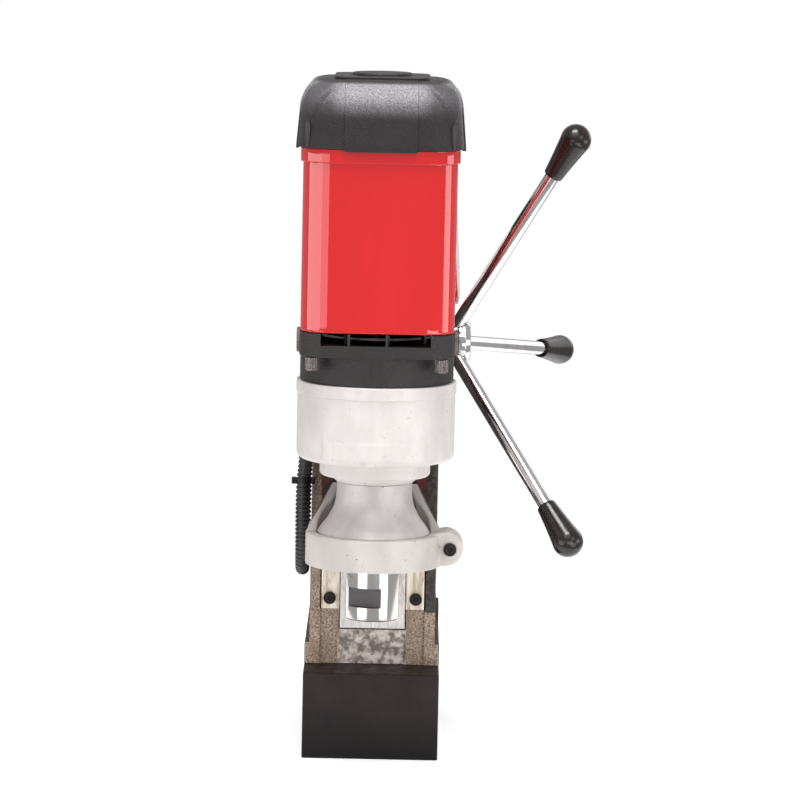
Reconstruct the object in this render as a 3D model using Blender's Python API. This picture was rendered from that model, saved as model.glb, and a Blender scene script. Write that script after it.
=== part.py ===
"""Magnetic drill press: an electromagnet base, a stand with a rack-fed carriage, and a geared motor.

Sizes are millimetres in this file, and the mesh helpers turn them into metres. The origin is the middle of the
magnet's underside, +Z is up, the spindle is on the -Y side and the feed capstan on the +X side.
"""

import math

import bmesh
import bpy
from mathutils import Matrix, Vector

MM = 0.001
WELD = 1e-7
GAP = 0.3

# Base and stand
MAGNET_X, MAGNET_Y, MAGNET_TOP = 40.0, 82.0, 51.0
COIL_OUTER, COIL_INNER, COIL_DEPTH = (30.0, 72.0), (17.0, 59.0), 36.0
STAND_X, STAND_FRONT, STAND_REAR, STAND_TOP = 37.2, -52.0, 62.0, 340.0
FOOT_TOP, FLARE_TOP = 62.0, 85.0
WALL_INNER = 31.0
CHANNEL_X, CHANNEL_BACK = 20.0, -22.0
WEB_FRONT, WEB_TOP = -49.5, 71.7
LUG_LOW, LUG_HIGH = (36.0, -46.0, 61.0), (39.2, -18.0, 86.5)
BOX_FRONT, BOX_TOP = -16.0, 334.0
KEEPER_LOW, KEEPER_BACK = 84.0, -48.0
KEEPER_IN, KEEPER_OUT = 19.6, 30.4
KEEPER_SCREW = (25.5, 91.0)
FOOT_SCREWS = {"front": 0.0, "rear": 45.0}

# Carriage: its rest place is the drawn one
TONGUE_X, TONGUE_LOW, SLIDE_TOP = 19.2, 73.2, 268.0
SLIDE_FRONT, SLIDE_BACK = -53.0, -36.3
WING_X, WING_LOW = 22.7, 104.0
SADDLE_FRONT = -60.7
RACK_X, RACK_BACK, RACK_LOW, RACK_HIGH = 6.0, -36.0, 113.0, 266.5

# Feed pinion and capstan, turning about an axis along X
FEED_Y, FEED_Z = -15.0, 241.0
FEED_MODULE, FEED_TEETH = 1.25, 16
FEED_PITCH = FEED_MODULE * FEED_TEETH / 2
HUB_LOW, HUB_HIGH, HUB_RADIUS = 40.0, 55.0, 12.8
SPOKE_APEX, SPOKE_TILT, SPOKE_RADIUS = 41.0, 28.0, 4.25
SPOKE_ANGLES = {"upper": 68.0, "rear": 188.0, "lower": -52.0}
BALL_REACH, BALL_RADIUS = 153.0, 9.0
KNOB_START, KNOB_NECK = 126.3, 5.8

# Spindle axis, shared by quill, gearbox and motor
AXIS_Y = -107.0
SPINDLE_LOW, SPINDLE_RADIUS, SPINDLE_TOP = 89.0, 15.5, 205.0
SOCKET_MOUTH, SOCKET_DEPTH, SOCKET_TAPER = 9.0, 62.0, 1 / 40
RING_LOW, RING_HIGH, RING_OUTER, RING_INNER = 121.0, 139.6, 39.2, 33.0
EAR_X, EAR_Z, EAR_RADIUS, EAR_HALF = 42.0, 131.8, 9.8, 11.0
COLLAR_LOW, BOSS_LOW, BOSS_RADIUS = 169.4, 173.2, 31.9
QUILL_RADIUS, NECK_RADIUS, QUILL_TOP = 32.6, 21.75, COLLAR_LOW - GAP
GEARBOX_RADIUS, GEARBOX_LOW, GEARBOX_TOP = 45.5, 182.5, 228.4
PLATE_LOW, PLATE_HIGH = 221.0, 228.1
FAN_LOW, FLANGE_LOW, FLANGE_TOP, FLANGE_HALF = 228.7, 245.2, 258.9, 44.3
MOTOR_LOW, LIP_LOW, MOTOR_TOP = 259.2, 355.8, 363.9
MOTOR_HALF_X, MOTOR_HALF_Y, LIP_PROUD, MOTOR_CORNER, MOTOR_BORE = 43.9, 44.4, 1.4, 16.0, 41.0
SCREW_OFFSET = 36.8

# Gear train: armature pinion -> layshaft gear, layshaft pinion -> spindle gear
LAYSHAFT_OFFSET = 22.0
GEAR_MODULE = 1.0
ARMATURE_TEETH, LAYSHAFT_TEETH = 9, 35
PINION_TEETH, SPINDLE_TEETH = 11, 33
PRESSURE = math.radians(20)

# Controls on the rear cover
BUTTONS = {"start": -15.0, "stop": 15.0}
BUTTON_Z, ROCKER_Z, ROCKER_Y, GLAND_Z = 295.0, 255.0, 62.5, 80.0

# Cover on the capstan's side: its outer face leans outwards to the rear and downwards
COVER_FRONT, COVER_REAR, COVER_LOW, COVER_HIGH, COVER_CORNER = -34.0, 50.0, 262.5, 322.5, 28.0
COVER_X, COVER_LEAN, COVER_SPREAD = 43.4, 0.025, 0.056

# Details
CLAMP_X, CLAMP_Z = 44.2, 132.0
PLUG_Z, PLUG_RADIUS, PLUG_DEPTH = 252.0, 6.6, 2.0
FLAT_DEPTH, FLAT_TURN, FLAT_LOW, FLAT_HIGH = 11.5, 22.0, 97.0, 108.3
FAN_BLADES = 9
VENT_LOW = 252.0
VENT_SPANS = ((-32.5, -18.2), (-15.8, 3.8), (6.2, 25.8), (28.2, 32.5))
CAP_LOW, CAP_DISC_TOP = 364.3, 405.2
CAP_PROFILE = (
    (47.7, CAP_LOW), (47.2, 378.0), (46.9, 385.0), (46.2, 389.5), (44.8, 393.0), (42.6, 396.0), (39.6, 398.8),
    (36.0, 400.9), (30.0, 402.4),
)
CAP_PANEL, CAP_PANEL_PROUD, CAP_PANEL_LOW = 20.6, 0.8, 362.5

# Conduit between the carriage and the stand, as its centre line runs
CONDUIT_RADIUS = 4.25
CONDUIT_ROUTE = (
    (-39.0, -58.4, 216.4), (-39.5, -58.4, 200.0), (-40.5, -58.4, 180.0), (-42.2, -58.0, 160.0),
    (-42.5, -57.0, 142.0), (-42.3, -54.5, 121.0), (-42.2, -48.5, 110.2), (-42.2, -39.7, 106.6),
    (-42.2, -30.9, 110.2), (-42.2, -25.0, 121.0), (-42.1, -22.6, 142.0), (-41.9, -22.0, 160.0),
    (-41.8, -22.0, 180.0), (-41.8, -22.0, 196.4),
)

SIDES = ((-1, 0, 0), (1, 0, 0))
AXES = {
    "X": Matrix.Rotation(math.radians(90), 4, "Y"),
    "Y": Matrix.Rotation(math.radians(-90), 4, "X"),
    "Z": Matrix.Identity(4),
}


# ---------------------------------------------------------------- outlines

def arc(centre, radius, start, end, steps):
    """Points on an arc from start to end degrees, both ends included."""
    turns = [math.radians(start + (end - start) * i / steps) for i in range(steps + 1)]
    return [(centre[0] + radius * math.cos(t), centre[1] + radius * math.sin(t)) for t in turns]


def rounded(half_x, half_y, corner, centre=(0.0, 0.0), steps=4):
    """A rounded rectangle's outline."""
    signs = ((1, 1), (-1, 1), (-1, -1), (1, -1))
    points = []
    for i, (sx, sy) in enumerate(signs):
        middle = (centre[0] + sx * (half_x - corner), centre[1] + sy * (half_y - corner))
        points += arc(middle, corner, 90 * i, 90 * i + 90, steps)
    return points


def involute(angle):
    return math.tan(angle) - angle


def gear_outline(teeth, module, centre=(0.0, 0.0), facing=0.0, addendum=0.85, backlash=0.3, flank=3):
    """An involute spur gear's outline, with the middle of one tooth at the angle facing, in degrees."""
    pitch = teeth * module / 2
    base = pitch * math.cos(PRESSURE)
    root, tip = pitch - 1.2 * module, pitch + addendum * module
    half = math.pi / (2 * teeth) - backlash / (2 * pitch) + involute(PRESSURE)
    radii = [max(base, root) + (tip - max(base, root)) * i / (flank - 1) for i in range(flank)]
    side = [(r, half - involute(math.acos(min(1.0, base / r)))) for r in radii]
    side.insert(0, (root, side[0][1] * 0.9))
    points = []
    for tooth in range(teeth):
        middle = math.radians(facing) + 2 * math.pi * tooth / teeth
        for radius, spread in [(r, -s) for r, s in side] + side[::-1]:
            turn = middle + spread
            points.append((centre[0] + radius * math.cos(turn), centre[1] + radius * math.sin(turn)))
    return points


def rack_outline():
    """The feed rack's outline in Y and Z, its teeth towards +Y, with a gap at the height of the feed axis."""
    pitch = math.pi * FEED_MODULE
    line = FEED_Y - FEED_PITCH
    tip, root = line + 0.85 * FEED_MODULE, line - 1.2 * FEED_MODULE
    slope = math.tan(PRESSURE)
    at_tip = pitch / 4 - 0.15 - (tip - line) * slope
    at_root = pitch / 4 - 0.15 + (line - root) * slope
    points = [(RACK_BACK, RACK_HIGH), (RACK_BACK, RACK_LOW), (root, RACK_LOW)]
    first = math.ceil((RACK_LOW + at_root - FEED_Z) / pitch - 0.5)
    last = math.floor((RACK_HIGH - at_root - FEED_Z) / pitch - 0.5)
    for tooth in range(first, last + 1):
        middle = FEED_Z + (tooth + 0.5) * pitch
        points += [(root, middle - at_root), (tip, middle - at_tip)]
        points += [(tip, middle + at_tip), (root, middle + at_root)]
    return points + [(root, RACK_HIGH)]


# ---------------------------------------------------------------- meshes

def prism(outline, low, high, axis="Z"):
    """An outline pulled straight from low to high. It is drawn in XY for Z, YZ for X and XZ for Y."""
    mesh = bmesh.new()
    rings = []
    for end in (low, high):
        rings.append([mesh.verts.new(Vector(lifted(u, v, end, axis)) * MM) for u, v in outline])
    close_rings(mesh, rings)
    return mesh


def lifted(u, v, along, axis):
    """The place of an outline's point (u, v) at a distance along an axis."""
    return {"Z": (u, v, along), "X": (along, u, v), "Y": (u, along, v)}[axis]


def loft(rings):
    """A skin over (outline, height) rings of equal counts, closed at both ends."""
    mesh = bmesh.new()
    close_rings(mesh, [[mesh.verts.new(Vector((u, v, z)) * MM) for u, v in outline] for outline, z in rings])
    return mesh


def close_rings(mesh, rings):
    for lower, upper in zip(rings, rings[1:]):
        for i, corner in enumerate(lower):
            j = (i + 1) % len(lower)
            mesh.faces.new((corner, lower[j], upper[j], upper[i]))
    mesh.faces.new(rings[0][::-1])
    mesh.faces.new(rings[-1])


def block(low, high, bevel=0.0):
    """A box between two corners, its edges rounded off by bevel."""
    mesh = bmesh.new()
    bmesh.ops.create_cube(mesh, size=1.0)
    size = Vector(high) - Vector(low)
    middle = (Vector(high) + Vector(low)) / 2
    for vert in mesh.verts:
        vert.co = Vector([middle[i] + vert.co[i] * size[i] for i in range(3)]) * MM
    if bevel:
        bmesh.ops.bevel(mesh, geom=mesh.edges[:], offset=bevel * MM, segments=2, profile=0.5, affect="EDGES")
    return mesh


def hull(points):
    mesh = bmesh.new()
    verts = [mesh.verts.new(Vector(point) * MM) for point in points]
    made = bmesh.ops.convex_hull(mesh, input=verts)
    spare = [item for item in made["geom_interior"] if isinstance(item, bmesh.types.BMVert)]
    bmesh.ops.delete(mesh, geom=spare, context="VERTS")
    return mesh


def turned(profile, centre=(0.0, 0.0, 0.0), axis="Z", steps=32):
    """A profile of (radius, distance along the axis) turned once round, axis a letter or a direction."""
    mesh = bmesh.new()
    wire = [mesh.verts.new(Vector((radius, 0, along)) * MM) for radius, along in profile]
    pairs = zip(profile + profile[:1], profile[1:] + profile[:1], wire, wire[1:] + wire[:1])
    edges = [mesh.edges.new((a, b)) for p, q, a, b in pairs if p[0] or q[0]]
    bmesh.ops.spin(
        mesh, geom=wire + edges, cent=(0, 0, 0), axis=(0, 0, 1), angle=2 * math.pi, steps=steps,
        use_merge=True,
    )
    bmesh.ops.remove_doubles(mesh, verts=mesh.verts[:], dist=WELD)
    turn = AXES[axis] if isinstance(axis, str) else Vector(axis).to_track_quat("Z", "Y").to_matrix().to_4x4()
    mesh.transform(Matrix.Translation(Vector(centre) * MM) @ turn)
    return mesh


def rod(radius, low, high, centre=(0.0, 0.0, 0.0), axis="Z", steps=20):
    return turned([(0.0, low), (radius, low), (radius, high), (0.0, high)], centre, axis, steps)


def tube(inner, outer, low, high, centre=(0.0, 0.0, 0.0), axis="Z", steps=20):
    return turned([(inner, low), (outer, low), (outer, high), (inner, high)], centre, axis, steps)


# ---------------------------------------------------------------- objects

def made(name, mesh):
    """The mesh as an object, its faces pointing out and its round faces shaded smooth."""
    bmesh.ops.recalc_face_normals(mesh, faces=mesh.faces[:])
    if mesh.calc_volume(signed=True) < 0:
        bmesh.ops.reverse_faces(mesh, faces=mesh.faces[:])
    data = bpy.data.meshes.new(name)
    mesh.to_mesh(data)
    mesh.free()
    data.shade_smooth()
    data.set_sharp_from_angle(angle=math.radians(32))
    thing = bpy.data.objects.new(name, data)
    bpy.context.scene.collection.objects.link(thing)
    return thing


def helper(name, mesh):
    thing = made(name, mesh)
    thing.hide_render = True
    thing.display_type = "WIRE"
    return thing


def change(thing, operation, meshes, solver="EXACT"):
    for mesh in meshes:
        count = len(thing.modifiers)
        modifier = thing.modifiers.new(f"{operation.lower()} {count}", "BOOLEAN")
        modifier.operation = operation
        modifier.solver = solver
        modifier.object = helper(f"{thing.name} shape {count}", mesh)


def part(name, body, paint, mesh, add=(), cut=(), solver="EXACT"):
    """One node: its first mesh, with others united and cut away, on a body's empty and in a material."""
    thing = made(name, mesh)
    change(thing, "UNION", add, solver)
    change(thing, "DIFFERENCE", cut, solver)
    thing.data.materials.append(paint)
    thing.parent = body
    thing.matrix_parent_inverse = Matrix.Translation(body.location).inverted()
    return thing


def empty_body(name, place=(0.0, 0.0, 0.0)):
    """An empty on the body's joint axis, which its pieces hang on."""
    empty = bpy.data.objects.new(name, None)
    empty.empty_display_size = 0.02
    empty.location = Vector(place) * MM
    bpy.context.scene.collection.objects.link(empty)
    return empty


def coating(name, colour, roughness, metallic=0.0):
    material = bpy.data.materials.new(name)
    material.use_nodes = True
    shader = material.node_tree.nodes["Principled BSDF"]
    shader.inputs["Base Color"].default_value = (*colour, 1.0)
    shader.inputs["Roughness"].default_value = roughness
    shader.inputs["Metallic"].default_value = metallic
    return material


def socket_screw(name, holder, head, shank, place, direction):
    """A hexagon socket screw. head and shank are (radius, length), place is under the middle of the head."""
    profile = [
        (0.0, -shank[1]), (shank[0], -shank[1]), (shank[0], 0.0), (head[0], 0.0),
        (head[0], head[1] - 0.4), (head[0] - 0.4, head[1]), (0.0, head[1]),
    ]
    key = rod(head[0] * 0.5, head[1] * 0.45, head[1] + 1, place, direction, steps=6)
    shape = turned(profile, place, direction, steps=14)
    return part(name, holder, BLACK_STEEL, shape, cut=[key])


# ---------------------------------------------------------------- stand

def build_magnet(stand):
    ring = rounded(*COIL_OUTER, 8.0)
    island = rounded(*COIL_INNER, 5.0)
    holes = [rod(4.3, MAGNET_TOP - 15, MAGNET_TOP + 1, (0, y, 0), steps=20) for y in FOOT_SCREWS.values()]
    magnet = part(
        "magnet_body", stand, BLACK_PAINT,
        block((-MAGNET_X, -MAGNET_Y, 0), (MAGNET_X, MAGNET_Y, MAGNET_TOP), bevel=0.8),
        cut=[prism(ring, -1, COIL_DEPTH), *holes],
    )
    change(magnet, "UNION", [prism(island, 0, COIL_DEPTH + 1)])
    outside = rounded(COIL_OUTER[0] - GAP, COIL_OUTER[1] - GAP, 7.7)
    inside = rounded(COIL_INNER[0] + GAP, COIL_INNER[1] + GAP, 5.3)
    hole = prism(inside, 0, COIL_DEPTH)
    part("magnet_coil", stand, RESIN, prism(outside, GAP, COIL_DEPTH - GAP), cut=[hole])
    for end, y in FOOT_SCREWS.items():
        socket_screw(f"foot_screw_{end}", stand, (6.5, 8.0), (3.9, 24.0), (0, y, FOOT_TOP + GAP), (0, 0, 1))


def build_stand_casting(stand):
    low = MAGNET_TOP + GAP
    middle = (0.0, (STAND_FRONT + STAND_REAR) / 2)
    depth = (STAND_REAR - STAND_FRONT) / 2

    def section(half_x):
        return rounded(half_x, depth, 1.5, middle, steps=2)

    shape = loft([
        (section(MAGNET_X), low), (section(MAGNET_X), FOOT_TOP),
        (section(STAND_X), FLARE_TOP), (section(STAND_X), STAND_TOP),
    ])
    over = STAND_TOP + 5
    cuts = [
        block((-CHANNEL_X, STAND_FRONT - 5, WEB_TOP), (CHANNEL_X, CHANNEL_BACK, over)),
        block((-CHANNEL_X, STAND_FRONT - 5, low - 5), (CHANNEL_X, WEB_FRONT, WEB_TOP + 1)),
        block((-WING_X - 0.5, KEEPER_BACK - 1, KEEPER_LOW + 1), (WING_X + 0.5, SLIDE_BACK + 0.5, over)),
        block((-WALL_INNER, BOX_FRONT, FOOT_TOP), (WALL_INNER, STAND_REAR + 5, BOX_TOP)),
        rod(FEED_PITCH + 1.7, -WALL_INNER, WALL_INNER, (0, FEED_Y, FEED_Z), "X"),
        rod(10.0 + GAP, -STAND_X - 1, STAND_X + 1, (0, FEED_Y, FEED_Z), "X"),
    ]
    for side in (-1, 1):
        x = sorted((side * (KEEPER_IN - GAP), side * (WALL_INNER + 0.3)))
        cuts.append(block((x[0], STAND_FRONT - 5, KEEPER_LOW), (x[1], KEEPER_BACK + GAP, over)))
        rail = sorted((side * CHANNEL_X - side, side * WALL_INNER))
        cuts.append(block((rail[0], STAND_FRONT - 5, low - 5), (rail[1], STAND_FRONT + 1.5, over)))
        hole = (side * KEEPER_SCREW[0], 0, KEEPER_SCREW[1])
        cuts.append(rod(2.4, STAND_FRONT - 2, SLIDE_BACK, hole, "Y", 16))
    cuts += [rod(4.3, low - 1, FOOT_TOP + 1, (0, y, 0), steps=20) for y in FOOT_SCREWS.values()]
    lug = block(LUG_LOW, LUG_HIGH)
    part("stand_casting", stand, CAST_IRON, shape, add=[lug], cut=cuts, solver="MANIFOLD")


def build_keepers(stand):
    for name, side in (("left", -1), ("right", 1)):
        x = sorted((side * KEEPER_IN, side * KEEPER_OUT))
        place = (side * KEEPER_SCREW[0], STAND_FRONT - GAP, KEEPER_SCREW[1])
        part(
            f"keeper_strip_{name}", stand, BRASS,
            block((x[0], STAND_FRONT, KEEPER_LOW + GAP), (x[1], KEEPER_BACK, STAND_TOP - 1), bevel=0.4),
            cut=[rod(2.4, -60, -40, (place[0], 0, place[2]), "Y", 16)],
        )
        socket_screw(f"keeper_screw_{name}", stand, (3.7, 2.4), (2.1, 14.0), place, (0, -1, 0))


def build_controls(stand):
    """The rear cover, with the motor's two buttons, the magnet's rocker switch and the mains gland."""
    front, back = STAND_REAR + GAP, STAND_REAR + 3.0
    cover = block((-36, front, 58), (36, back, 337), bevel=0.8)
    holes = [rod(8.4, front - 2, back + 2, (x, 0, BUTTON_Z), "Y", 20) for x in BUTTONS.values()]
    holes.append(block((-9.6, front - 2, ROCKER_Z - 14), (9.6, back + 2, ROCKER_Z + 14)))
    holes.append(rod(6.4, front - 2, back + 2, (0, 0, GLAND_Z), "Y", 16))
    part("rear_cover", stand, BLACK_PAINT, cover, cut=holes)
    gland = [(4.0, front - 6), (6.0, front - 6), (6.0, back + GAP), (10.0, back + GAP), (10.0, back + 7)]
    gland += [(8.4, back + 8), (7.6, back + 17), (6.0, back + 19), (4.0, back + 19)]
    part("mains_gland", stand, BLACK_PLASTIC, turned(gland, (0, 0, GLAND_Z), "Y", steps=16))
    card = block((-26, 36, 84), (26, 37.6, 190))
    rectifier = block((-14, 22, 96), (12, 36.5, 118))
    capacitor = rod(8.0, 18, 36.5, (10, 0, 150), "Y", 20)
    part("circuit_board", stand, CIRCUIT, card, add=[rectifier, capacitor])


def build_buttons():
    travel_axis = STAND_REAR + 6
    for name, x in BUTTONS.items():
        holder = empty_body(f"{name}_travel", (x, travel_axis, BUTTON_Z))
        profile = [(0.0, STAND_REAR - 8), (7.0, STAND_REAR - 8), (7.0, STAND_REAR - 2), (8.0, STAND_REAR - 2)]
        profile += [(8.0, travel_axis), (7.2, travel_axis + 1), (0.0, travel_axis + 1)]
        colour = GREEN_PLASTIC if name == "start" else RED_PLASTIC
        part(f"{name}_button", holder, colour, turned(profile, (x, 0, BUTTON_Z), "Y", steps=20))


def build_rocker():
    holder = empty_body("rocker_axis", (0, ROCKER_Y, ROCKER_Z))
    outline = [(-4.5, 7.0), (-4.5, -7.0), (0.5, -12.0), (4.6, -12.4), (2.6, 0.0), (4.6, 12.4), (0.5, 12.0)]
    lean = math.radians(-8)
    turned_outline = [
        (
            ROCKER_Y + u * math.cos(lean) - v * math.sin(lean),
            ROCKER_Z + u * math.sin(lean) + v * math.cos(lean),
        )
        for u, v in outline
    ]
    part("magnet_rocker", holder, BLACK_PLASTIC, prism(turned_outline, -9.2, 9.2, "X"))


def build_handle(stand):
    low, high = STAND_TOP + GAP, 384.0
    middle = (21.0, (low + high) / 2)
    outer = rounded(35.0, (high - low) / 2, 9.0, middle)
    inner = rounded(26.0, 11.0, 6.0, (21.0, middle[1] - 0.5))
    handle = part(
        "carry_handle", stand, BLACK_PLASTIC, prism(outer, -9.0, 9.0, "X"), cut=[prism(inner, -12, 12, "X")]
    )
    edges = handle.modifiers.new("rounded edges", "BEVEL")
    edges.width = 2.0 * MM
    edges.segments = 2
    edges.limit_method = "ANGLE"
    edges.angle_limit = math.radians(40)


def build_feed_bushes(stand):
    for name, side in (("left", -1), ("right", 1)):
        low, high = sorted((side * (WALL_INNER - 1), side * (STAND_X + 0.4)))
        part(f"pinion_bush_{name}", stand, BRASS, tube(7.3, 10.0, low, high, (0, FEED_Y, FEED_Z), "X"))


def build_side_cover(stand):
    middle = ((COVER_FRONT + COVER_REAR) / 2, (COVER_LOW + COVER_HIGH) / 2)
    outline = rounded((COVER_REAR - COVER_FRONT) / 2, (COVER_HIGH - COVER_LOW) / 2, COVER_CORNER, middle)
    mesh = prism(outline, STAND_X + GAP, COVER_X, "X")
    for vert in mesh.verts:
        if vert.co.x > STAND_X * MM + WELD + GAP * MM:
            vert.co.x += COVER_LEAN * (vert.co.y - COVER_FRONT * MM)
            vert.co.x += COVER_SPREAD * (COVER_HIGH * MM - vert.co.z)
    cover = part("side_cover", stand, RED_PAINT, mesh)
    edges = cover.modifiers.new("rounded edges", "BEVEL")
    edges.width = 1.5 * MM
    edges.segments = 2
    edges.limit_method = "ANGLE"
    edges.angle_limit = math.radians(40)


def build_conduit(stand, carriage):
    end, start = CONDUIT_ROUTE[-1], CONDUIT_ROUTE[0]
    low = end[2] + GAP
    box = block((-45.4, end[1] - 8, low + 4), (-STAND_X - GAP, end[1] + 8, low + 18), bevel=1.0)
    collar = rod(3.55, low, low + 6, (-41.4, end[1], 0), steps=20)
    part("conduit_gland_stand", stand, BLACK_PLASTIC, box, add=[collar])
    nut = rod(5.9, start[2] + GAP, 229.6, (start[0], start[1], 0), steps=6)
    part("conduit_gland_carriage", carriage, BLACK_PLASTIC, nut)
    curve = bpy.data.curves.new("conduit", "CURVE")
    curve.dimensions = "3D"
    curve.bevel_depth = CONDUIT_RADIUS * MM
    curve.bevel_resolution = 2
    curve.use_fill_caps = True
    line = smooth_line(CONDUIT_ROUTE, 3)
    spline = curve.splines.new("POLY")
    spline.points.add(len(line) - 1)
    for point, place in zip(spline.points, line):
        point.co = (*(place * MM), 1.0)
    conduit = bpy.data.objects.new("conduit", curve)
    bpy.context.scene.collection.objects.link(conduit)
    curve.materials.append(BLACK_PLASTIC)
    conduit.parent = stand


def smooth_line(route, between):
    """Points on a Catmull-Rom curve through the route, so many to each of its stretches."""
    points = [Vector(point) for point in route]
    points = [2 * points[0] - points[1], *points, 2 * points[-1] - points[-2]]
    line = []
    for a, b, c, d in zip(points, points[1:], points[2:], points[3:]):
        for step in range(between):
            t = step / between
            line.append(
                0.5 * (2 * b + (c - a) * t + (2 * a - 5 * b + 4 * c - d) * t ** 2
                       + (3 * b - a - 3 * c + d) * t ** 3)
            )
    return [*line, points[-2]]


# ---------------------------------------------------------------- carriage

def build_slide(carriage):
    part(
        "carriage_slide", carriage, STEEL,
        block((-TONGUE_X, SLIDE_FRONT, TONGUE_LOW), (TONGUE_X, SLIDE_BACK, SLIDE_TOP)),
        add=[block((-WING_X, KEEPER_BACK + 0.6, WING_LOW), (WING_X, SLIDE_BACK, SLIDE_TOP - 0.5))],
    )
    saddle_y = (SADDLE_FRONT, SLIDE_FRONT - GAP)
    head = prism(rounded(43.0, 16.0, 6.0, (0.0, 246.0)), *saddle_y, "Y")
    part(
        "carriage_saddle", carriage, RED_PAINT,
        prism(rounded(31.0, 48.0, 3.0, (0.0, 196.5)), *saddle_y, "Y"), add=[head],
    )
    part("feed_rack", carriage, STEEL, prism(rack_outline(), -RACK_X, RACK_X, "X"))


def build_ring_bracket(carriage):
    """The split ring that clamps the quill, with its pad on the slide and a gusset on each side."""
    ear = [(30.0, RING_LOW), *arc((EAR_X, EAR_Z), EAR_RADIUS, -90, 90, 10), (30.0, RING_HIGH)]
    adds = [
        prism(ear, AXIS_Y - EAR_HALF, AXIS_Y + EAR_HALF, "Y"),
        block((-18.9, -73, RING_LOW), (18.9, SLIDE_FRONT - GAP, 147.5)),
        block((-24.5, -73, RING_LOW), (24.5, SADDLE_FRONT - GAP, 163)),
    ]
    for side in (-1, 1):
        low = [(side * x, y, RING_HIGH - z) for x in (33.6, 38.2) for y in (-108, -88) for z in (4, 0)]
        high = [(side * x, y, z) for x in (20.0, 24.5) for y in (-72, SADDLE_FRONT - 1) for z in (158, 163)]
        adds.append(hull(low + high))
    cuts = [
        block((30.5, AXIS_Y - 1, RING_LOW - 5), (60, AXIS_Y + 1, RING_HIGH + 5)),
        rod(RING_INNER, RING_LOW - 6, QUILL_TOP, (0, AXIS_Y, 0), steps=40),
        rod(2.6, AXIS_Y - 15, AXIS_Y + 15, (CLAMP_X, 0, CLAMP_Z), "Y", 16),
    ]
    ring = rod(RING_OUTER, RING_LOW, RING_HIGH, (0, AXIS_Y, 0), steps=40)
    part("ring_bracket", carriage, CAST_ALUMINIUM, ring, add=adds, cut=cuts, solver="MANIFOLD")
    socket_screw(
        "clamp_screw", carriage, (4.2, 3.0), (2.2, 20.0), (CLAMP_X, AXIS_Y - EAR_HALF - GAP, CLAMP_Z),
        (0, -1, 0),
    )


def build_quill(carriage):
    flare = [
        (QUILL_RADIUS - 0.6, 141.0), (30.2, 143.6), (27.6, 146.4), (25.3, 149.6), (23.4, 153.6), (22.2, 158.0),
    ]
    profile = [(26.0, 121.6), (QUILL_RADIUS, 121.6), (QUILL_RADIUS, 140.0), *flare]
    profile += [(NECK_RADIUS, 162.5), (NECK_RADIUS, QUILL_TOP), (16.2, QUILL_TOP)]
    profile += [(16.2, 138.0), (26.0, 138.0)]
    part("quill_housing", carriage, CAST_ALUMINIUM, turned(profile, (0, AXIS_Y, 0)))
    part("spindle_bearing_lower", carriage, STEEL, tube(15.8, 25.7, 124.0, 137.0, (0, AXIS_Y, 0)))
    part("spindle_bearing_upper", carriage, STEEL, tube(8.4, 16.0, 178.1, 186.0, (0, AXIS_Y, 0), steps=20))


def build_gearbox(carriage):
    collar = [(13.0, COLLAR_LOW), (22.4, COLLAR_LOW), (25.2, BOSS_LOW - 1), (25.2, BOSS_LOW)]
    boss = [(BOSS_RADIUS - 0.9, BOSS_LOW), (BOSS_RADIUS, BOSS_LOW + 0.9), (BOSS_RADIUS, GEARBOX_LOW - 1),
            (BOSS_RADIUS + 1, GEARBOX_LOW)]
    corner = arc((GEARBOX_RADIUS - 4, GEARBOX_LOW + 4), 4.0, -90, 0, 2)
    band = [(GEARBOX_RADIUS, 221.0), (GEARBOX_RADIUS + 0.6, 221.6), (GEARBOX_RADIUS + 0.6, GEARBOX_TOP)]
    inside = [(42.5, GEARBOX_TOP), (42.5, 190.0), (16.3, 190.0), (16.3, 177.8), (13.0, 177.8)]
    part(
        "gearbox_housing", carriage, CAST_ALUMINIUM,
        turned([*collar, *boss, *corner, *band, *inside], (0, AXIS_Y, 0), steps=40),
        cut=[rod(4.3, 182, 192, (0, AXIS_Y + LAYSHAFT_OFFSET, 0), steps=16)],
    )
    part(
        "gearcase_plate", carriage, CAST_ALUMINIUM,
        tube(10.0, 42.1, PLATE_LOW, PLATE_HIGH, (0, AXIS_Y, 0), steps=40),
        cut=[rod(4.3, PLATE_LOW - 1, PLATE_HIGH + 1, (0, AXIS_Y + LAYSHAFT_OFFSET, 0), steps=16)],
    )
    bearing = tube(5.4, 9.7, PLATE_LOW + 0.8, PLATE_HIGH - 0.5, (0, AXIS_Y, 0), steps=20)
    part("armature_bearing_lower", carriage, STEEL, bearing)


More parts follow.
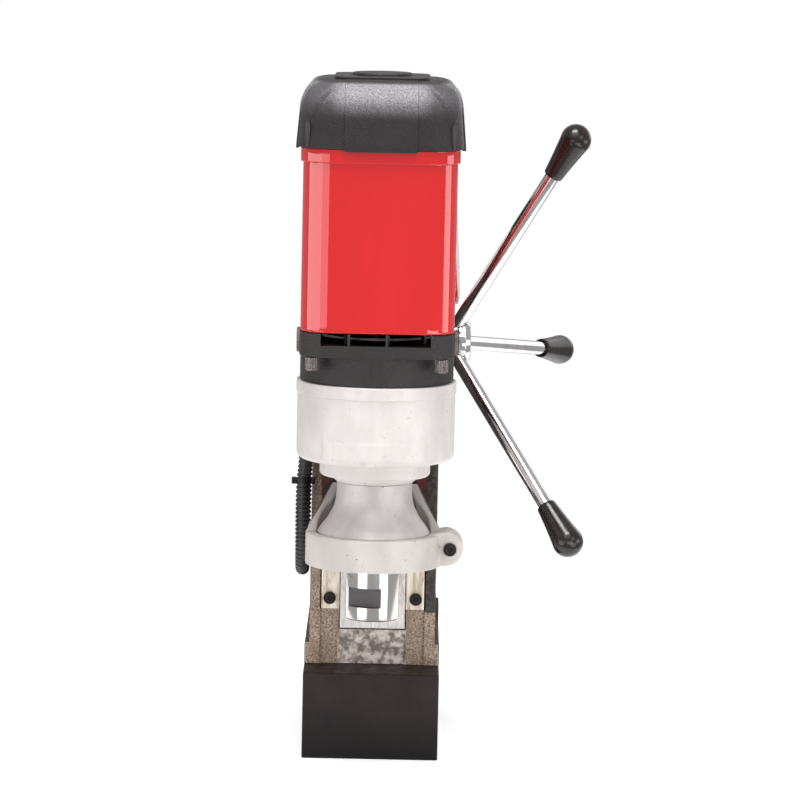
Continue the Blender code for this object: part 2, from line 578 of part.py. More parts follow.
def build_fan_housing(carriage):
    """A round lower part under a square flange, with slots for the cooling air in three of its sides."""
    flange = prism(rounded(FLANGE_HALF, FLANGE_HALF, MOTOR_CORNER, (0, AXIS_Y)), FLANGE_LOW, FLANGE_TOP)
    cuts = [
        rod(39.0, 233.5, FLANGE_TOP + 1, (0, AXIS_Y, 0), steps=40),
        rod(7.0, FAN_LOW - 1, 235, (0, AXIS_Y, 0), steps=20),
    ]
    for left, right in VENT_SPANS:
        cuts.append(block((left, AXIS_Y - 50, VENT_LOW), (right, AXIS_Y - 20, FLANGE_TOP + 1)))
        for side in (-1, 1):
            x = sorted((side * 20, side * 50))
            cuts.append(block((x[0], AXIS_Y + left, VENT_LOW), (x[1], AXIS_Y + right, FLANGE_TOP + 1)))
    cuts += [rod(2.7, FLANGE_LOW - 1, FLANGE_TOP + 1, (x, y, 0), steps=12) for x, y in screw_places()]
    middle = (0, AXIS_Y, PLUG_Z)
    plugs = [rod(PLUG_RADIUS, FLANGE_HALF - 1, FLANGE_HALF + PLUG_DEPTH, middle, way) for way in SIDES]
    part(
        "fan_housing", carriage, BLACK_PLASTIC,
        rod(FLANGE_HALF, FAN_LOW, FLANGE_LOW + 1, (0, AXIS_Y, 0), steps=40), add=[flange, *plugs], cut=cuts,
    )


def screw_places():
    return [(sx * SCREW_OFFSET, AXIS_Y + sy * SCREW_OFFSET) for sy in (-1, 1) for sx in (-1, 1)]


def build_motor(carriage):
    def section(proud):
        return rounded(MOTOR_HALF_X + proud, MOTOR_HALF_Y + proud, MOTOR_CORNER + proud, (0, AXIS_Y))

    shape = loft([
        (section(-0.8), MOTOR_LOW), (section(0), MOTOR_LOW + 0.8), (section(0), LIP_LOW - 0.8),
        (section(LIP_PROUD), LIP_LOW), (section(LIP_PROUD), MOTOR_TOP - 0.8),
        (section(LIP_PROUD - 0.8), MOTOR_TOP),
    ])
    cuts = [rod(MOTOR_BORE, MOTOR_LOW - 1, MOTOR_TOP + 1, (0, AXIS_Y, 0), steps=40)]
    cuts += [rod(2.5, MOTOR_LOW - 1, MOTOR_LOW + 16, (x, y, 0), steps=12) for x, y in screw_places()]
    part("motor_housing", carriage, RED_PAINT, shape, cut=cuts)
    for number, (x, y) in enumerate(screw_places(), 1):
        socket_screw(
            f"motor_screw_{number}", carriage, (3.9, 7.6), (2.1, 26.0), (x, y, FLANGE_LOW - GAP), (0, 0, -1)
        )
    part("field_stator", carriage, COPPER, tube(22.0, 38.0, 284.0, 336.0, (0, AXIS_Y, 0)))
    for name, side in (("left", -1), ("right", 1)):
        x = sorted((side * 11.6, side * 36.0))
        part(
            f"brush_holder_{name}", carriage, BRASS,
            block((x[0], AXIS_Y - 5, 344), (x[1], AXIS_Y + 5, 355), bevel=0.5),
        )
    part("armature_bearing_upper", carriage, STEEL, tube(5.4, 11.0, 372.0, 380.0, (0, AXIS_Y, 0), steps=20))


def build_top_cap(carriage):
    """The cap's sides curve in to a flat top. A panel stands proud on each side, and a disc on top."""
    def section(half):
        return rounded(half, half, 20.0, (0, AXIS_Y), steps=4)

    shape = loft([(section(half), z) for half, z in CAP_PROFILE])
    proud = [(half + CAP_PANEL_PROUD, z) for half, z in CAP_PROFILE[:-1]]
    lower = [(proud[0][0], CAP_PANEL_LOW), *proud[1:]]
    side = lower + [(-half, z) for half, z in lower[::-1]]
    deep = [(AXIS_Y + half, z) for half, z in side]
    disc = [(0.0, 401.2), (27.0, 401.2), (27.0, 403.2), (18.4, 403.2), (18.4, 402.4), (17.6, 402.4)]
    disc += [(17.6, CAP_DISC_TOP - 0.6), (16.8, CAP_DISC_TOP), (0.0, CAP_DISC_TOP)]
    panels = [prism(deep, -CAP_PANEL, CAP_PANEL, "X")]
    panels.append(prism(side, AXIS_Y - CAP_PANEL, AXIS_Y + CAP_PANEL, "Y"))
    hollow = loft([(section(46.0), 361.0), (section(46.0), MOTOR_TOP + GAP), (section(43.0), MOTOR_TOP + GAP),
                   (section(41.5), 386.0), (section(34.0), 397.0)])
    cap = part(
        "top_cap", carriage, BLACK_PLASTIC, shape,
        add=[*panels, turned(disc, (0, AXIS_Y, 0), steps=40)], cut=[hollow],
    )
    boss = tube(11.3, 14.5, 371.0, 400.0, (0, AXIS_Y, 0), steps=24)
    change(cap, "UNION", [boss])


# ---------------------------------------------------------------- turning pieces

def build_spindle():
    holder = empty_body("spindle_axis", (0, AXIS_Y, SPINDLE_LOW))
    socket_end = SOCKET_MOUTH - SOCKET_DEPTH * SOCKET_TAPER
    profile = [
        (SOCKET_MOUTH, SPINDLE_LOW), (SPINDLE_RADIUS - 0.8, SPINDLE_LOW), (SPINDLE_RADIUS, SPINDLE_LOW + 0.8),
        (SPINDLE_RADIUS, 137.6), (12.5, 137.6), (12.5, 177.0), (8.0, 177.0), (8.0, SPINDLE_TOP),
        (0.0, SPINDLE_TOP), (0.0, SPINDLE_LOW + SOCKET_DEPTH + 3), (socket_end, SPINDLE_LOW + SOCKET_DEPTH),
    ]
    flats = []
    for turn in (0, 180):
        pocket = block((-12, -30, FLAT_LOW), (12, -FLAT_DEPTH, FLAT_HIGH))
        pocket.transform(Matrix.Rotation(math.radians(turn - FLAT_TURN), 4, "Z"))
        pocket.transform(Matrix.Translation((0, AXIS_Y * MM, 0)))
        flats.append(pocket)
    part("spindle", holder, STEEL, turned(profile, (0, AXIS_Y, 0)), cut=flats)
    outline = gear_outline(SPINDLE_TEETH, GEAR_MODULE, (0, AXIS_Y), facing=90, flank=2)
    part(
        "spindle_gear", holder, STEEL, prism(outline, 193.0, 203.0),
        cut=[rod(8.3, 190, 206, (0, AXIS_Y, 0), steps=24)],
    )


def build_layshaft():
    y = AXIS_Y + LAYSHAFT_OFFSET
    holder = empty_body("layshaft_axis", (0, y, 191))
    pinion = gear_outline(PINION_TEETH, GEAR_MODULE, (0, y), facing=-90 + 180 / PINION_TEETH)
    part(
        "layshaft_pinion", holder, STEEL, rod(3.0, 183.0, 226.5, (0, y, 0), steps=16),
        add=[prism(pinion, 191.5, 205.5)],
    )
    gear = gear_outline(LAYSHAFT_TEETH, GEAR_MODULE, (0, y), facing=-90 + 180 / LAYSHAFT_TEETH, flank=2)
    part(
        "layshaft_gear", holder, STEEL, prism(gear, 209.0, 216.0),
        cut=[rod(3.3, 205, 220, (0, y, 0), steps=16)],
    )


def build_armature():
    holder = empty_body("armature_axis", (0, AXIS_Y, 300))
    profile = [
        (0.0, 218.4), (5.0, 218.4), (5.0, 288.0), (20.6, 288.0), (20.6, 332.0), (8.0, 334.0), (8.0, 342.0),
        (11.0, 342.0), (11.0, 357.0), (5.0, 357.0), (5.0, 383.0), (0.0, 383.0),
    ]
    pinion = gear_outline(ARMATURE_TEETH, GEAR_MODULE, (0, AXIS_Y), facing=90)
    part(
        "armature", holder, STEEL, turned(profile, (0, AXIS_Y, 0), steps=28),
        add=[prism(pinion, 207.5, 219.0)],
    )
    blades = []
    for number in range(FAN_BLADES):
        blade = block((8, -0.9, 239), (36, 0.9, 257.5))
        blade.transform(Matrix.Rotation(2 * math.pi * number / FAN_BLADES, 4, "Z"))
        blade.transform(Matrix.Translation((0, AXIS_Y * MM, 0)))
        blades.append(blade)
    disc = [(5.3, 237.0), (36.5, 237.0), (36.5, 239.5), (9.0, 239.5), (9.0, 257.5), (5.3, 257.5)]
    part("cooling_fan", holder, BLACK_PLASTIC, turned(disc, (0, AXIS_Y, 0), steps=28), add=blades)


def build_capstan():
    holder = empty_body("capstan_axis", (HUB_LOW, FEED_Y, FEED_Z))
    place = (0, FEED_Y, FEED_Z)
    shaft = [(0.0, -STAND_X), (7.0, -STAND_X), (7.0, HUB_LOW - 0.5), (5.5, HUB_LOW - 0.5)]
    shaft += [(5.5, 51.0), (0.0, 51.0)]
    teeth = gear_outline(FEED_TEETH, FEED_MODULE, (FEED_Y, FEED_Z), facing=180)
    part("pinion_shaft", holder, STEEL, turned(shaft, place, "X", 20), add=[prism(teeth, -8.0, 8.0, "X")])
    hub = [
        (5.8, HUB_LOW), (HUB_RADIUS - 1, HUB_LOW), (HUB_RADIUS, HUB_LOW + 1), (HUB_RADIUS, HUB_HIGH - 2.5),
        (HUB_RADIUS - 2.5, HUB_HIGH), (0.0, HUB_HIGH), (0.0, 51.5), (5.8, 51.5),
    ]
    apex = Vector((SPOKE_APEX, FEED_Y, FEED_Z))
    directions = {}
    for name, angle in SPOKE_ANGLES.items():
        tilt, turn = math.radians(SPOKE_TILT), math.radians(angle)
        outward = Vector((0, -math.cos(turn), math.sin(turn)))
        directions[name] = outward * math.cos(tilt) + Vector((1, 0, 0)) * math.sin(tilt)
    holes = [rod(SPOKE_RADIUS + GAP, 8.0, 40.0, apex, way, 20) for way in directions.values()]
    part("capstan_hub", holder, CHROME, turned(hub, place, "X", 28), cut=holes)
    cone = [(SPOKE_RADIUS + GAP, KNOB_START), (KNOB_NECK - 0.5, KNOB_START), (KNOB_NECK, KNOB_START + 0.7)]
    ball = arc((0.0, BALL_REACH), BALL_RADIUS, -5, 90, 6)
    bore_end = KNOB_START + 14
    for name, way in directions.items():
        start = 9.0
        part(f"spoke_{name}", holder, CHROME, rod(SPOKE_RADIUS, start, bore_end - 0.5, apex, way, 20))
        knob = [*cone, *ball[:-1], (0.0, BALL_REACH + BALL_RADIUS)]
        knob += [(0.0, bore_end), (SPOKE_RADIUS + GAP, bore_end)]
        part(f"knob_{name}", holder, BAKELITE, turned(knob, apex, way, 18))


# ---------------------------------------------------------------- the model

for old in list(bpy.data.objects):
    bpy.data.objects.remove(old)

BLACK_PAINT = coating("black paint", (0.02, 0.018, 0.018), 0.45)
BLACK_PLASTIC = coating("black plastic", (0.03, 0.028, 0.028), 0.55)
BLACK_STEEL = coating("black steel", (0.02, 0.02, 0.02), 0.4, 0.8)
RED_PAINT = coating("red paint", (0.75, 0.02, 0.03), 0.25)
CAST_IRON = coating("cast iron", (0.25, 0.2, 0.16), 0.8, 0.6)
CAST_ALUMINIUM = coating("cast aluminium", (0.7, 0.68, 0.66), 0.45, 0.7)
STEEL = coating("machined steel", (0.6, 0.58, 0.56), 0.25, 1.0)
CHROME = coating("chrome", (0.85, 0.85, 0.86), 0.08, 1.0)
BRASS = coating("brass", (0.75, 0.62, 0.4), 0.4, 1.0)
COPPER = coating("copper windings", (0.55, 0.25, 0.12), 0.4, 0.8)
RESIN = coating("potting resin", (0.08, 0.06, 0.04), 0.4)
CIRCUIT = coating("circuit board", (0.02, 0.2, 0.06), 0.5)
BAKELITE = coating("bakelite", (0.03, 0.02, 0.018), 0.15)
GREEN_PLASTIC = coating("green plastic", (0.02, 0.35, 0.08), 0.35)
RED_PLASTIC = coating("red plastic", (0.6, 0.02, 0.02), 0.35)

STAND = empty_body("stand")
build_magnet(STAND)
build_stand_casting(STAND)
build_keepers(STAND)
build_controls(STAND)
build_handle(STAND)
build_feed_bushes(STAND)
build_side_cover(STAND)

CARRIAGE = empty_body("carriage", (0, SLIDE_BACK, SLIDE_TOP))
build_slide(CARRIAGE)
build_ring_bracket(CARRIAGE)
build_quill(CARRIAGE)
build_gearbox(CARRIAGE)
build_fan_housing(CARRIAGE)
build_motor(CARRIAGE)
build_top_cap(CARRIAGE)
build_conduit(STAND, CARRIAGE)

build_buttons()
build_rocker()
build_spindle()
build_layshaft()
build_armature()
build_capstan()
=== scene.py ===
import math

import bmesh
import bpy
from mathutils import Matrix, Vector


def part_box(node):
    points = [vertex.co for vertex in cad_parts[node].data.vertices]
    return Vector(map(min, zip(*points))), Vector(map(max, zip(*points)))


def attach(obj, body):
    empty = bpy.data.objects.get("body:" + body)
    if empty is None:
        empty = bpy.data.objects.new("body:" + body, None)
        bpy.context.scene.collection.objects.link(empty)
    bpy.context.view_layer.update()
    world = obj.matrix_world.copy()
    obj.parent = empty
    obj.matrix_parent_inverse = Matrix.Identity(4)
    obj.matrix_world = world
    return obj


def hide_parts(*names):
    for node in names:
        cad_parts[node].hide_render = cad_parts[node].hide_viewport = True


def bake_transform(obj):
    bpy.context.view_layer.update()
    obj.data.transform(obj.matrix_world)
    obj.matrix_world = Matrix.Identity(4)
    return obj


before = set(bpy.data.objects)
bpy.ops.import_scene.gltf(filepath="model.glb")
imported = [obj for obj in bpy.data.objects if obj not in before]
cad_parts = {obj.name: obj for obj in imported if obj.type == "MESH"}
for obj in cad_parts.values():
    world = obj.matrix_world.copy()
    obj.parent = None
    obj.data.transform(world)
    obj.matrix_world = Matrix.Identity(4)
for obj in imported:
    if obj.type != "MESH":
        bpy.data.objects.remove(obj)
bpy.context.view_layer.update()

MM = 0.001

# Camera and lights
LENS, SENSOR = 202.5, 36.0
CAMERA_PLACE = (0.0137, -2.682, 0.541)
CAMERA_PITCH, CAMERA_ROLL = -7.18, 1.2
LIGHT_AIM_Y = -0.107
FLOOR_RADIUS, FLOOR_CENTRE = 0.42, (0, 0.15, 0)

# The frame's own measures, in millimetres
NODE = {name: [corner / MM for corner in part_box(name)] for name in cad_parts}
AXIS_Y = sum(corner.y for corner in NODE["quill_housing"]) / 2
ON_AXIS = (0, AXIS_Y, 0)
SPINDLE_LOW, SPINDLE_TOP = (corner.z for corner in NODE["spindle"])
SPINDLE_RADIUS = NODE["spindle"][1].x
RING_LOW, RING_HIGH, RING_OUTER = NODE["ring_bracket"][0].z, 139.6, -NODE["ring_bracket"][0].x
QUILL_LOW, QUILL_TOP = (corner.z for corner in NODE["quill_housing"])
QUILL_RADIUS, NECK_RADIUS = NODE["quill_housing"][1].x, 21.75
BOX_LOW, BOX_TOP = (corner.z for corner in NODE["gearbox_housing"])
BOX_RADIUS, BOX_FLOOR, BOSS_RADIUS, BOSS_LOW = 45.5, 182.5, 31.9, 173.2
FAN_LOW, FLANGE_TOP = (corner.z for corner in NODE["fan_housing"])
FLANGE_LOW, FLANGE_HALF, VENT_LOW = 245.2, 44.3, 252.0
MOTOR_LOW, MOTOR_TOP = (corner.z for corner in NODE["motor_housing"])
MOTOR_HALF_X, MOTOR_HALF_Y, MOTOR_CORNER, LIP_LOW, LIP_PROUD = 43.9, 44.4, 16.0, 355.8, 1.4
FEED_Y, FEED_Z = -15.0, 241.0
SPOKE_APEX, SPOKE_TILT, SPOKE_RADIUS = Vector((41.0, FEED_Y, FEED_Z)), 28.0, 4.25
SPOKE_ANGLES = {"upper": 68.0, "rear": 188.0, "lower": -52.0}
BALL_REACH, BALL_RADIUS, KNOB_START, ROD_END = 153.0, 9.0, 126.3, 131.0
CLAMP_X, CLAMP_Z = 44.2, 132.0
EAR_X, EAR_Z, EAR_RADIUS = 42.0, 131.8, 9.8
COVER_FRONT, COVER_REAR, COVER_LOW, COVER_HIGH, COVER_CORNER = -34.0, 50.0, 262.5, 322.5, 28.0
COVER_X, COVER_LEAN, COVER_SPREAD = 43.4, 0.025, 0.056
SCREW_OFFSET = 36.8
VENTS = ((-32.0, -16.7), (-15.3, 4.9), (6.2, 30.6))
CONDUIT_ROUTE = (
    (-39.0, -58.4, 216.4), (-39.5, -58.4, 200.0), (-40.5, -58.4, 180.0), (-42.2, -58.0, 160.0),
    (-42.5, -57.0, 142.0), (-42.3, -54.5, 121.0), (-42.2, -48.5, 110.2), (-42.2, -39.7, 106.6),
    (-42.2, -30.9, 110.2), (-42.2, -25.0, 121.0), (-42.1, -22.6, 142.0), (-41.9, -22.0, 160.0),
    (-41.8, -22.0, 180.0), (-41.8, -22.0, 196.4),
)

SIDES = (("left", -1), ("right", 1))
AXES = {
    "X": Matrix.Rotation(math.radians(90), 4, "Y"),
    "Y": Matrix.Rotation(math.radians(-90), 4, "X"),
    "Z": Matrix.Identity(4),
}


# ---------------------------------------------------------------- outlines, in millimetres

def arc(centre, radius, start, end, steps):
    turns = [math.radians(start + (end - start) * i / steps) for i in range(steps + 1)]
    return [(centre[0] + radius * math.cos(t), centre[1] + radius * math.sin(t)) for t in turns]


def rounded(half_x, half_y, corner, centre=(0.0, 0.0), steps=12, side=1):
    """A rounded rectangle's outline, with each straight side in so many stretches."""
    points = []
    for i, (sx, sy) in enumerate(((1, 1), (-1, 1), (-1, -1), (1, -1))):
        middle = (centre[0] + sx * (half_x - corner), centre[1] + sy * (half_y - corner))
        curve = arc(middle, corner, 90 * i, 90 * i + 90, steps)
        if points:
            points += between(points[-1], curve[0], side)
        points += curve
    return points + between(points[-1], points[0], side)


def between(a, b, count):
    """The points that split the stretch from a to b, both ends left out."""
    return [tuple(p + (q - p) * i / count for p, q in zip(a, b)) for i in range(1, count)]


def softened(points, steps=5):
    """A closed outline of (u, v) or (u, v, radius) corners, with each radius rounded off."""
    result = []
    for i, (u, v, *radius) in enumerate(points):
        if not radius:
            result.append((u, v))
            continue
        corner = Vector((u, v))
        before = Vector(points[i - 1][:2]) - corner
        after = Vector(points[(i + 1) % len(points)][:2]) - corner
        half = before.angle(after) / 2
        reach = min(radius[0] / math.tan(half), 0.49 * before.length, 0.49 * after.length)
        a, b = corner + before.normalized() * reach, corner + after.normalized() * reach
        for k in range(steps + 1):
            t = k / steps
            result.append(tuple(a * (1 - t) ** 2 + corner * 2 * t * (1 - t) + b * t * t))
    return result


def smooth_line(route, count):
    """Points on a Catmull-Rom curve through the route, so many to each of its stretches."""
    points = [Vector(point) for point in route]
    points = [2 * points[0] - points[1], *points, 2 * points[-1] - points[-2]]
    line = []
    for a, b, c, d in zip(points, points[1:], points[2:], points[3:]):
        for step in range(count):
            t = step / count
            bend, twist = 2 * a - 5 * b + 4 * c - d, 3 * b - a - 3 * c + d
            line.append(0.5 * (2 * b + (c - a) * t + bend * t * t + twist * t ** 3))
    return [*line, points[-2]]


def step_up(value, low, high):
    t = min(1.0, max(0.0, (value - low) / (high - low)))
    return t * t * (3 - 2 * t)


# ---------------------------------------------------------------- meshes

def skin(rings):
    """A skin over rings of points of equal counts, closed at both ends."""
    mesh = bmesh.new()
    rows = [[mesh.verts.new(Vector(point) * MM) for point in ring] for ring in rings]
    for lower, upper in zip(rows, rows[1:]):
        for i, corner in enumerate(lower):
            j = (i + 1) % len(lower)
            mesh.faces.new((corner, lower[j], upper[j], upper[i]))
    mesh.faces.new(rows[0][::-1])
    mesh.faces.new(rows[-1])
    return mesh


def lifted(u, v, along, axis):
    return {"Z": (u, v, along), "X": (along, u, v), "Y": (u, along, v)}[axis]


def prism(outline, low, high, axis="Z"):
    return skin([[lifted(u, v, end, axis) for u, v in outline] for end in (low, high)])


def pillow(section, low, high, edge, axis="Z", steps=4):
    """section(inset) pulled from low to high, its two rims rounded off by edge."""
    turns = [math.radians(90 * i / steps) for i in range(steps + 1)]
    rims = [(edge * (1 - math.sin(t)), edge * (1 - math.cos(t))) for t in turns]
    levels = [(inset, low + rise) for inset, rise in rims]
    levels += [(inset, high - rise) for inset, rise in rims[::-1]]
    return skin([[lifted(u, v, along, axis) for u, v in section(inset)] for inset, along in levels])


def block(low, high, bevel=0.0):
    mesh = bmesh.new()
    bmesh.ops.create_cube(mesh, size=1.0)
    size, middle = Vector(high) - Vector(low), (Vector(high) + Vector(low)) / 2
    for vert in mesh.verts:
        vert.co = Vector([middle[i] + vert.co[i] * size[i] for i in range(3)]) * MM
    if bevel:
        bmesh.ops.bevel(mesh, geom=mesh.edges[:], offset=bevel * MM, segments=3, profile=0.5, affect="EDGES")
    return mesh


def hull(points):
    mesh = bmesh.new()
    verts = [mesh.verts.new(Vector(point) * MM) for point in points]
    built = bmesh.ops.convex_hull(mesh, input=verts)
    spare = [item for item in built["geom_interior"] if isinstance(item, bmesh.types.BMVert)]
    bmesh.ops.delete(mesh, geom=spare, context="VERTS")
    return mesh


def placed(mesh, centre, axis):
    """The mesh moved from the origin to its centre, its Z turned to the axis: a letter or a direction."""
    turn = AXES[axis] if isinstance(axis, str) else Vector(axis).to_track_quat("Z", "Y").to_matrix().to_4x4()
    mesh.transform(Matrix.Translation(Vector(centre) * MM) @ turn)
    return mesh


def turned(profile, centre=ON_AXIS, axis="Z", steps=96):
    """A closed profile of (radius, distance along the axis) turned once round."""
    mesh = bmesh.new()
    rings = []
    for radius, along in profile:
        count = steps if radius > 1e-6 else 1
        turns = [2 * math.pi * i / steps for i in range(count)]
        r = radius * MM
        rings.append([mesh.verts.new((r * math.cos(t), r * math.sin(t), along * MM)) for t in turns])
    for a, b in zip(rings, rings[1:] + rings[:1]):
        for i in range(steps if max(len(a), len(b)) > 1 else 0):
            j = (i + 1) % steps
            corners = [a[i % len(a)], a[j % len(a)], b[j % len(b)], b[i % len(b)]]
            mesh.faces.new(list(dict.fromkeys(corners)))
    return placed(mesh, centre, axis)


def rod(radius, low, high, centre=ON_AXIS, axis="Z", steps=48, edge=0.0):
    corner = (edge,) if edge else ()
    profile = softened([(0.0, low), (radius, low, *corner), (radius, high, *corner), (0.0, high)])
    return turned(profile, centre, axis, steps)


def ribbed(radius, depth, ribs, low, high, centre, axis):
    """A short cylinder with straight ribs round it, as a screw's knurled head has."""
    def ring(inset, along):
        count = 4 * ribs
        radii = [radius - inset - (depth if i % 4 in (2, 3) else 0.0) for i in range(count)]
        turns = [2 * math.pi * i / count for i in range(count)]
        return [(r * math.cos(t), r * math.sin(t), along) for r, t in zip(radii, turns)]

    rings = [ring(0.35, low), ring(0, low + 0.4), ring(0, high - 0.6), ring(0.5, high)]
    return placed(skin(rings), centre, axis)


# ---------------------------------------------------------------- pieces

def made(name, mesh, smooth=35.0):
    bmesh.ops.recalc_face_normals(mesh, faces=mesh.faces[:])
    if mesh.calc_volume(signed=True) < 0:
        bmesh.ops.reverse_faces(mesh, faces=mesh.faces[:])
    data = bpy.data.meshes.new(name)
    mesh.to_mesh(data)
    mesh.free()
    thing = bpy.data.objects.new(name, data)
    bpy.context.scene.collection.objects.link(thing)
    shade(thing, smooth)
    return thing


def shade(thing, angle):
    thing.data.shade_smooth()
    thing.data.set_sharp_from_angle(angle=math.radians(angle))


def settle(thing, smooth=35.0):
    """Replaces the piece's mesh by what its modifiers make of it."""
    bpy.context.view_layer.update()
    graph = bpy.context.evaluated_depsgraph_get()
    data = bpy.data.meshes.new_from_object(thing.evaluated_get(graph))
    thing.modifiers.clear()
    thing.data = data
    shade(thing, smooth)


def combine(thing, operation, meshes, solver):
    tools = []
    for mesh in meshes:
        tool = made(f"{thing.name} tool", mesh)
        modifier = thing.modifiers.new("shape", "BOOLEAN")
        modifier.operation, modifier.solver, modifier.object = operation, solver, tool
        tools.append(tool)
    return tools


def piece(
    name, body, finish, mesh, node=(),
    add=(), cut=(), solver="EXACT", smooth=35.0, remesh=0.0, edge=None,
):
    """A visible piece on a body, in a finish. It stands for the CAD nodes in node."""
    thing = made(name, mesh, smooth)
    tools = combine(thing, "UNION", add, solver) + combine(thing, "DIFFERENCE", cut, solver)
    if remesh:
        voxels = thing.modifiers.new("even mesh", "REMESH")
        voxels.mode, voxels.voxel_size = "VOXEL", remesh * MM
        melt = thing.modifiers.new("cast edges", "SMOOTH")
        melt.factor, melt.iterations = 0.5, 5
    if edge:
        rim = thing.modifiers.new("rounded edges", "BEVEL")
        rim.width, rim.segments, rim.limit_method = edge[0] * MM, edge[1], "ANGLE"
        rim.angle_limit = math.radians(40)
    if tools or remesh or edge:
        settle(thing, smooth)
        for tool in tools:
            bpy.data.objects.remove(tool)
    thing.data.materials.clear()
    thing.data.materials.append(finish)
    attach(thing, body)
    if node:
        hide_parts(*([node] if isinstance(node, str) else node))
    return thing


def moved(thing, change):
    """Moves each vertex, given and returned in millimetres."""
    for vert in thing.data.vertices:
        vert.co = change(vert.co / MM) * MM
    thing.data.update()


# ---------------------------------------------------------------- finishes

def linear(*levels):
    """A display colour from 0 to 255 as the linear colour that shaders take."""
    return tuple(((c / 255 + 0.055) / 1.055) ** 2.4 if c > 10 else c / 255 / 12.92 for c in levels) + (1.0,)


class Finish:
    """A material whose grain, wear and stains are made from textures in the object's own space."""

    def __init__(self, name, roughness, metallic=0.0, coat=0.0, coat_roughness=0.05, specular=0.5):
        self.material = bpy.data.materials.new(name)
        self.material.use_nodes = True
        self.tree = self.material.node_tree
        self.shader = self.tree.nodes["Principled BSDF"]
        self.shader.inputs["Metallic"].default_value = metallic
        self.shader.inputs["Roughness"].default_value = roughness
        self.shader.inputs["Specular IOR Level"].default_value = specular
        self.shader.inputs["Coat Weight"].default_value = coat
        self.shader.inputs["Coat Roughness"].default_value = coat_roughness
        self.place = self.node("ShaderNodeTexCoord").outputs["Object"]
        self.normal = None

    def node(self, kind, inputs=None, **settings):
        node = self.tree.nodes.new(kind)
        for name, value in settings.items():
            setattr(node, name, value)
        for name, value in (inputs or {}).items():
            self.feed(value, node.inputs[name])
        return node

    def feed(self, value, socket):
        if isinstance(value, bpy.types.NodeSocket):
            self.tree.links.new(value, socket)
        else:
            socket.default_value = value

    def stretched(self, x, y, z):
        """The place with each axis scaled, so that a texture's grains lengthen where the scale is small."""
        return self.node("ShaderNodeMapping", {"Vector": self.place, "Scale": (x, y, z)}).outputs["Vector"]

    def noise(self, size, detail=3.0, place=None, roughness=0.55, distortion=0.0):
        """Cloudy noise from 0 to 1 with grains of this size in millimetres."""
        return self.node("ShaderNodeTexNoise", {
            "Vector": place or self.place, "Scale": 1 / (size * MM), "Detail": detail, "Roughness": roughness,
            "Distortion": distortion,
        }).outputs[0]

    def cloud(self, size, detail, low=0.3, high=0.7, start=0.0, end=1.0):
        """Noise with its stretch from low to high spread over start to end."""
        return self.fit(self.noise(size, detail), low, high, start, end)

    def cells(self, size, place=None):
        """The distance to the nearest of points scattered this far apart."""
        return self.node("ShaderNodeTexVoronoi", {
            "Vector": place or self.place, "Scale": 1 / (size * MM), "Randomness": 1.0,
        }).outputs["Distance"]

    def fit(self, value, low, high, start=0.0, end=1.0):
        """The value's stretch from low to high spread over start to end, with soft ends."""
        return self.node("ShaderNodeMapRange", {
            "Value": value, "From Min": low, "From Max": high, "To Min": start, "To Max": end,
        }, interpolation_type="SMOOTHSTEP").outputs["Result"]

    def sum(self, operation, a, b=0.0):
        node = self.node("ShaderNodeMath", operation=operation)
        self.feed(a, node.inputs[0])
        self.feed(b, node.inputs[1])
        return node.outputs[0]

    def times(self, a, b):
        return self.sum("MULTIPLY", a, b)

    def axis(self, letter, source=None):
        return self.node("ShaderNodeSeparateXYZ", {"Vector": source or self.place}).outputs[letter]

    def past(self, letter, limit):
        """One where the place along an axis is past this many millimetres, and nought elsewhere."""
        return self.sum("GREATER_THAN", self.axis(letter), limit * MM)

    def facing(self, letter):
        return self.axis(letter, self.node("ShaderNodeTexCoord").outputs["Normal"])

    def mix(self, share, a, b):
        """A blend from a to b. Three levels from 0 to 255 stand for a display colour."""
        node = self.node("ShaderNodeMix", data_type="RGBA")
        for value, socket in ((share, node.inputs[0]), (a, node.inputs[6]), (b, node.inputs[7])):
            self.feed(linear(*value) if isinstance(value, tuple) and len(value) == 3 else value, socket)
        return node.outputs[2]

    def worn_edges(self, radius):
        """One on sharp edges and nought on flat faces."""
        smooth = self.node("ShaderNodeBevel", {"Radius": radius * MM}, samples=4).outputs["Normal"]
        flat = self.node("ShaderNodeNewGeometry").outputs["Normal"]
        dot = self.node("ShaderNodeVectorMath", operation="DOT_PRODUCT")
        self.feed(smooth, dot.inputs[0])
        self.feed(flat, dot.inputs[1])
        return self.fit(self.sum("SUBTRACT", 1.0, dot.outputs["Value"]), 0.02, 0.2)

    def colour(self, value):
        self.feed(value, self.shader.inputs["Base Color"])

    def rough(self, value):
        self.feed(value, self.shader.inputs["Roughness"])

    def metal(self, value):
        self.feed(value, self.shader.inputs["Metallic"])

    def bump(self, height, depth):
        """Adds relief of this depth in millimetres."""
        inputs = {"Height": height, "Distance": depth * MM, "Strength": 1.0}
        if self.normal:
            inputs["Normal"] = self.normal
        self.normal = self.node("ShaderNodeBump", inputs).outputs["Normal"]
        self.feed(self.normal, self.shader.inputs["Normal"])


def red_gloss():
    """Sprayed gloss enamel over a moulded shell: orange peel, slow waves and a few specks."""
    f = Finish("red gloss", 0.3, coat=1.0, coat_roughness=0.035, specular=0.0)
    f.shader.inputs["Coat IOR"].default_value = 1.88
    tall = f.stretched(1.0, 1.0, 0.22)
    cloud = f.fit(f.noise(26, 3, tall), 0.35, 0.65)
    base = f.mix(cloud, (215, 3, 9), (221, 9, 14))
    speck = f.cloud(1.6, 1, 0.79, 0.83)
    f.colour(f.mix(speck, base, (150, 22, 28)))
    f.rough(f.cloud(9, 4, 0.3, 0.7, 0.24, 0.36))
    f.bump(f.noise(14, 2, tall), 0.3)
    f.bump(f.noise(2.6, 2), 0.018)
    return f.material


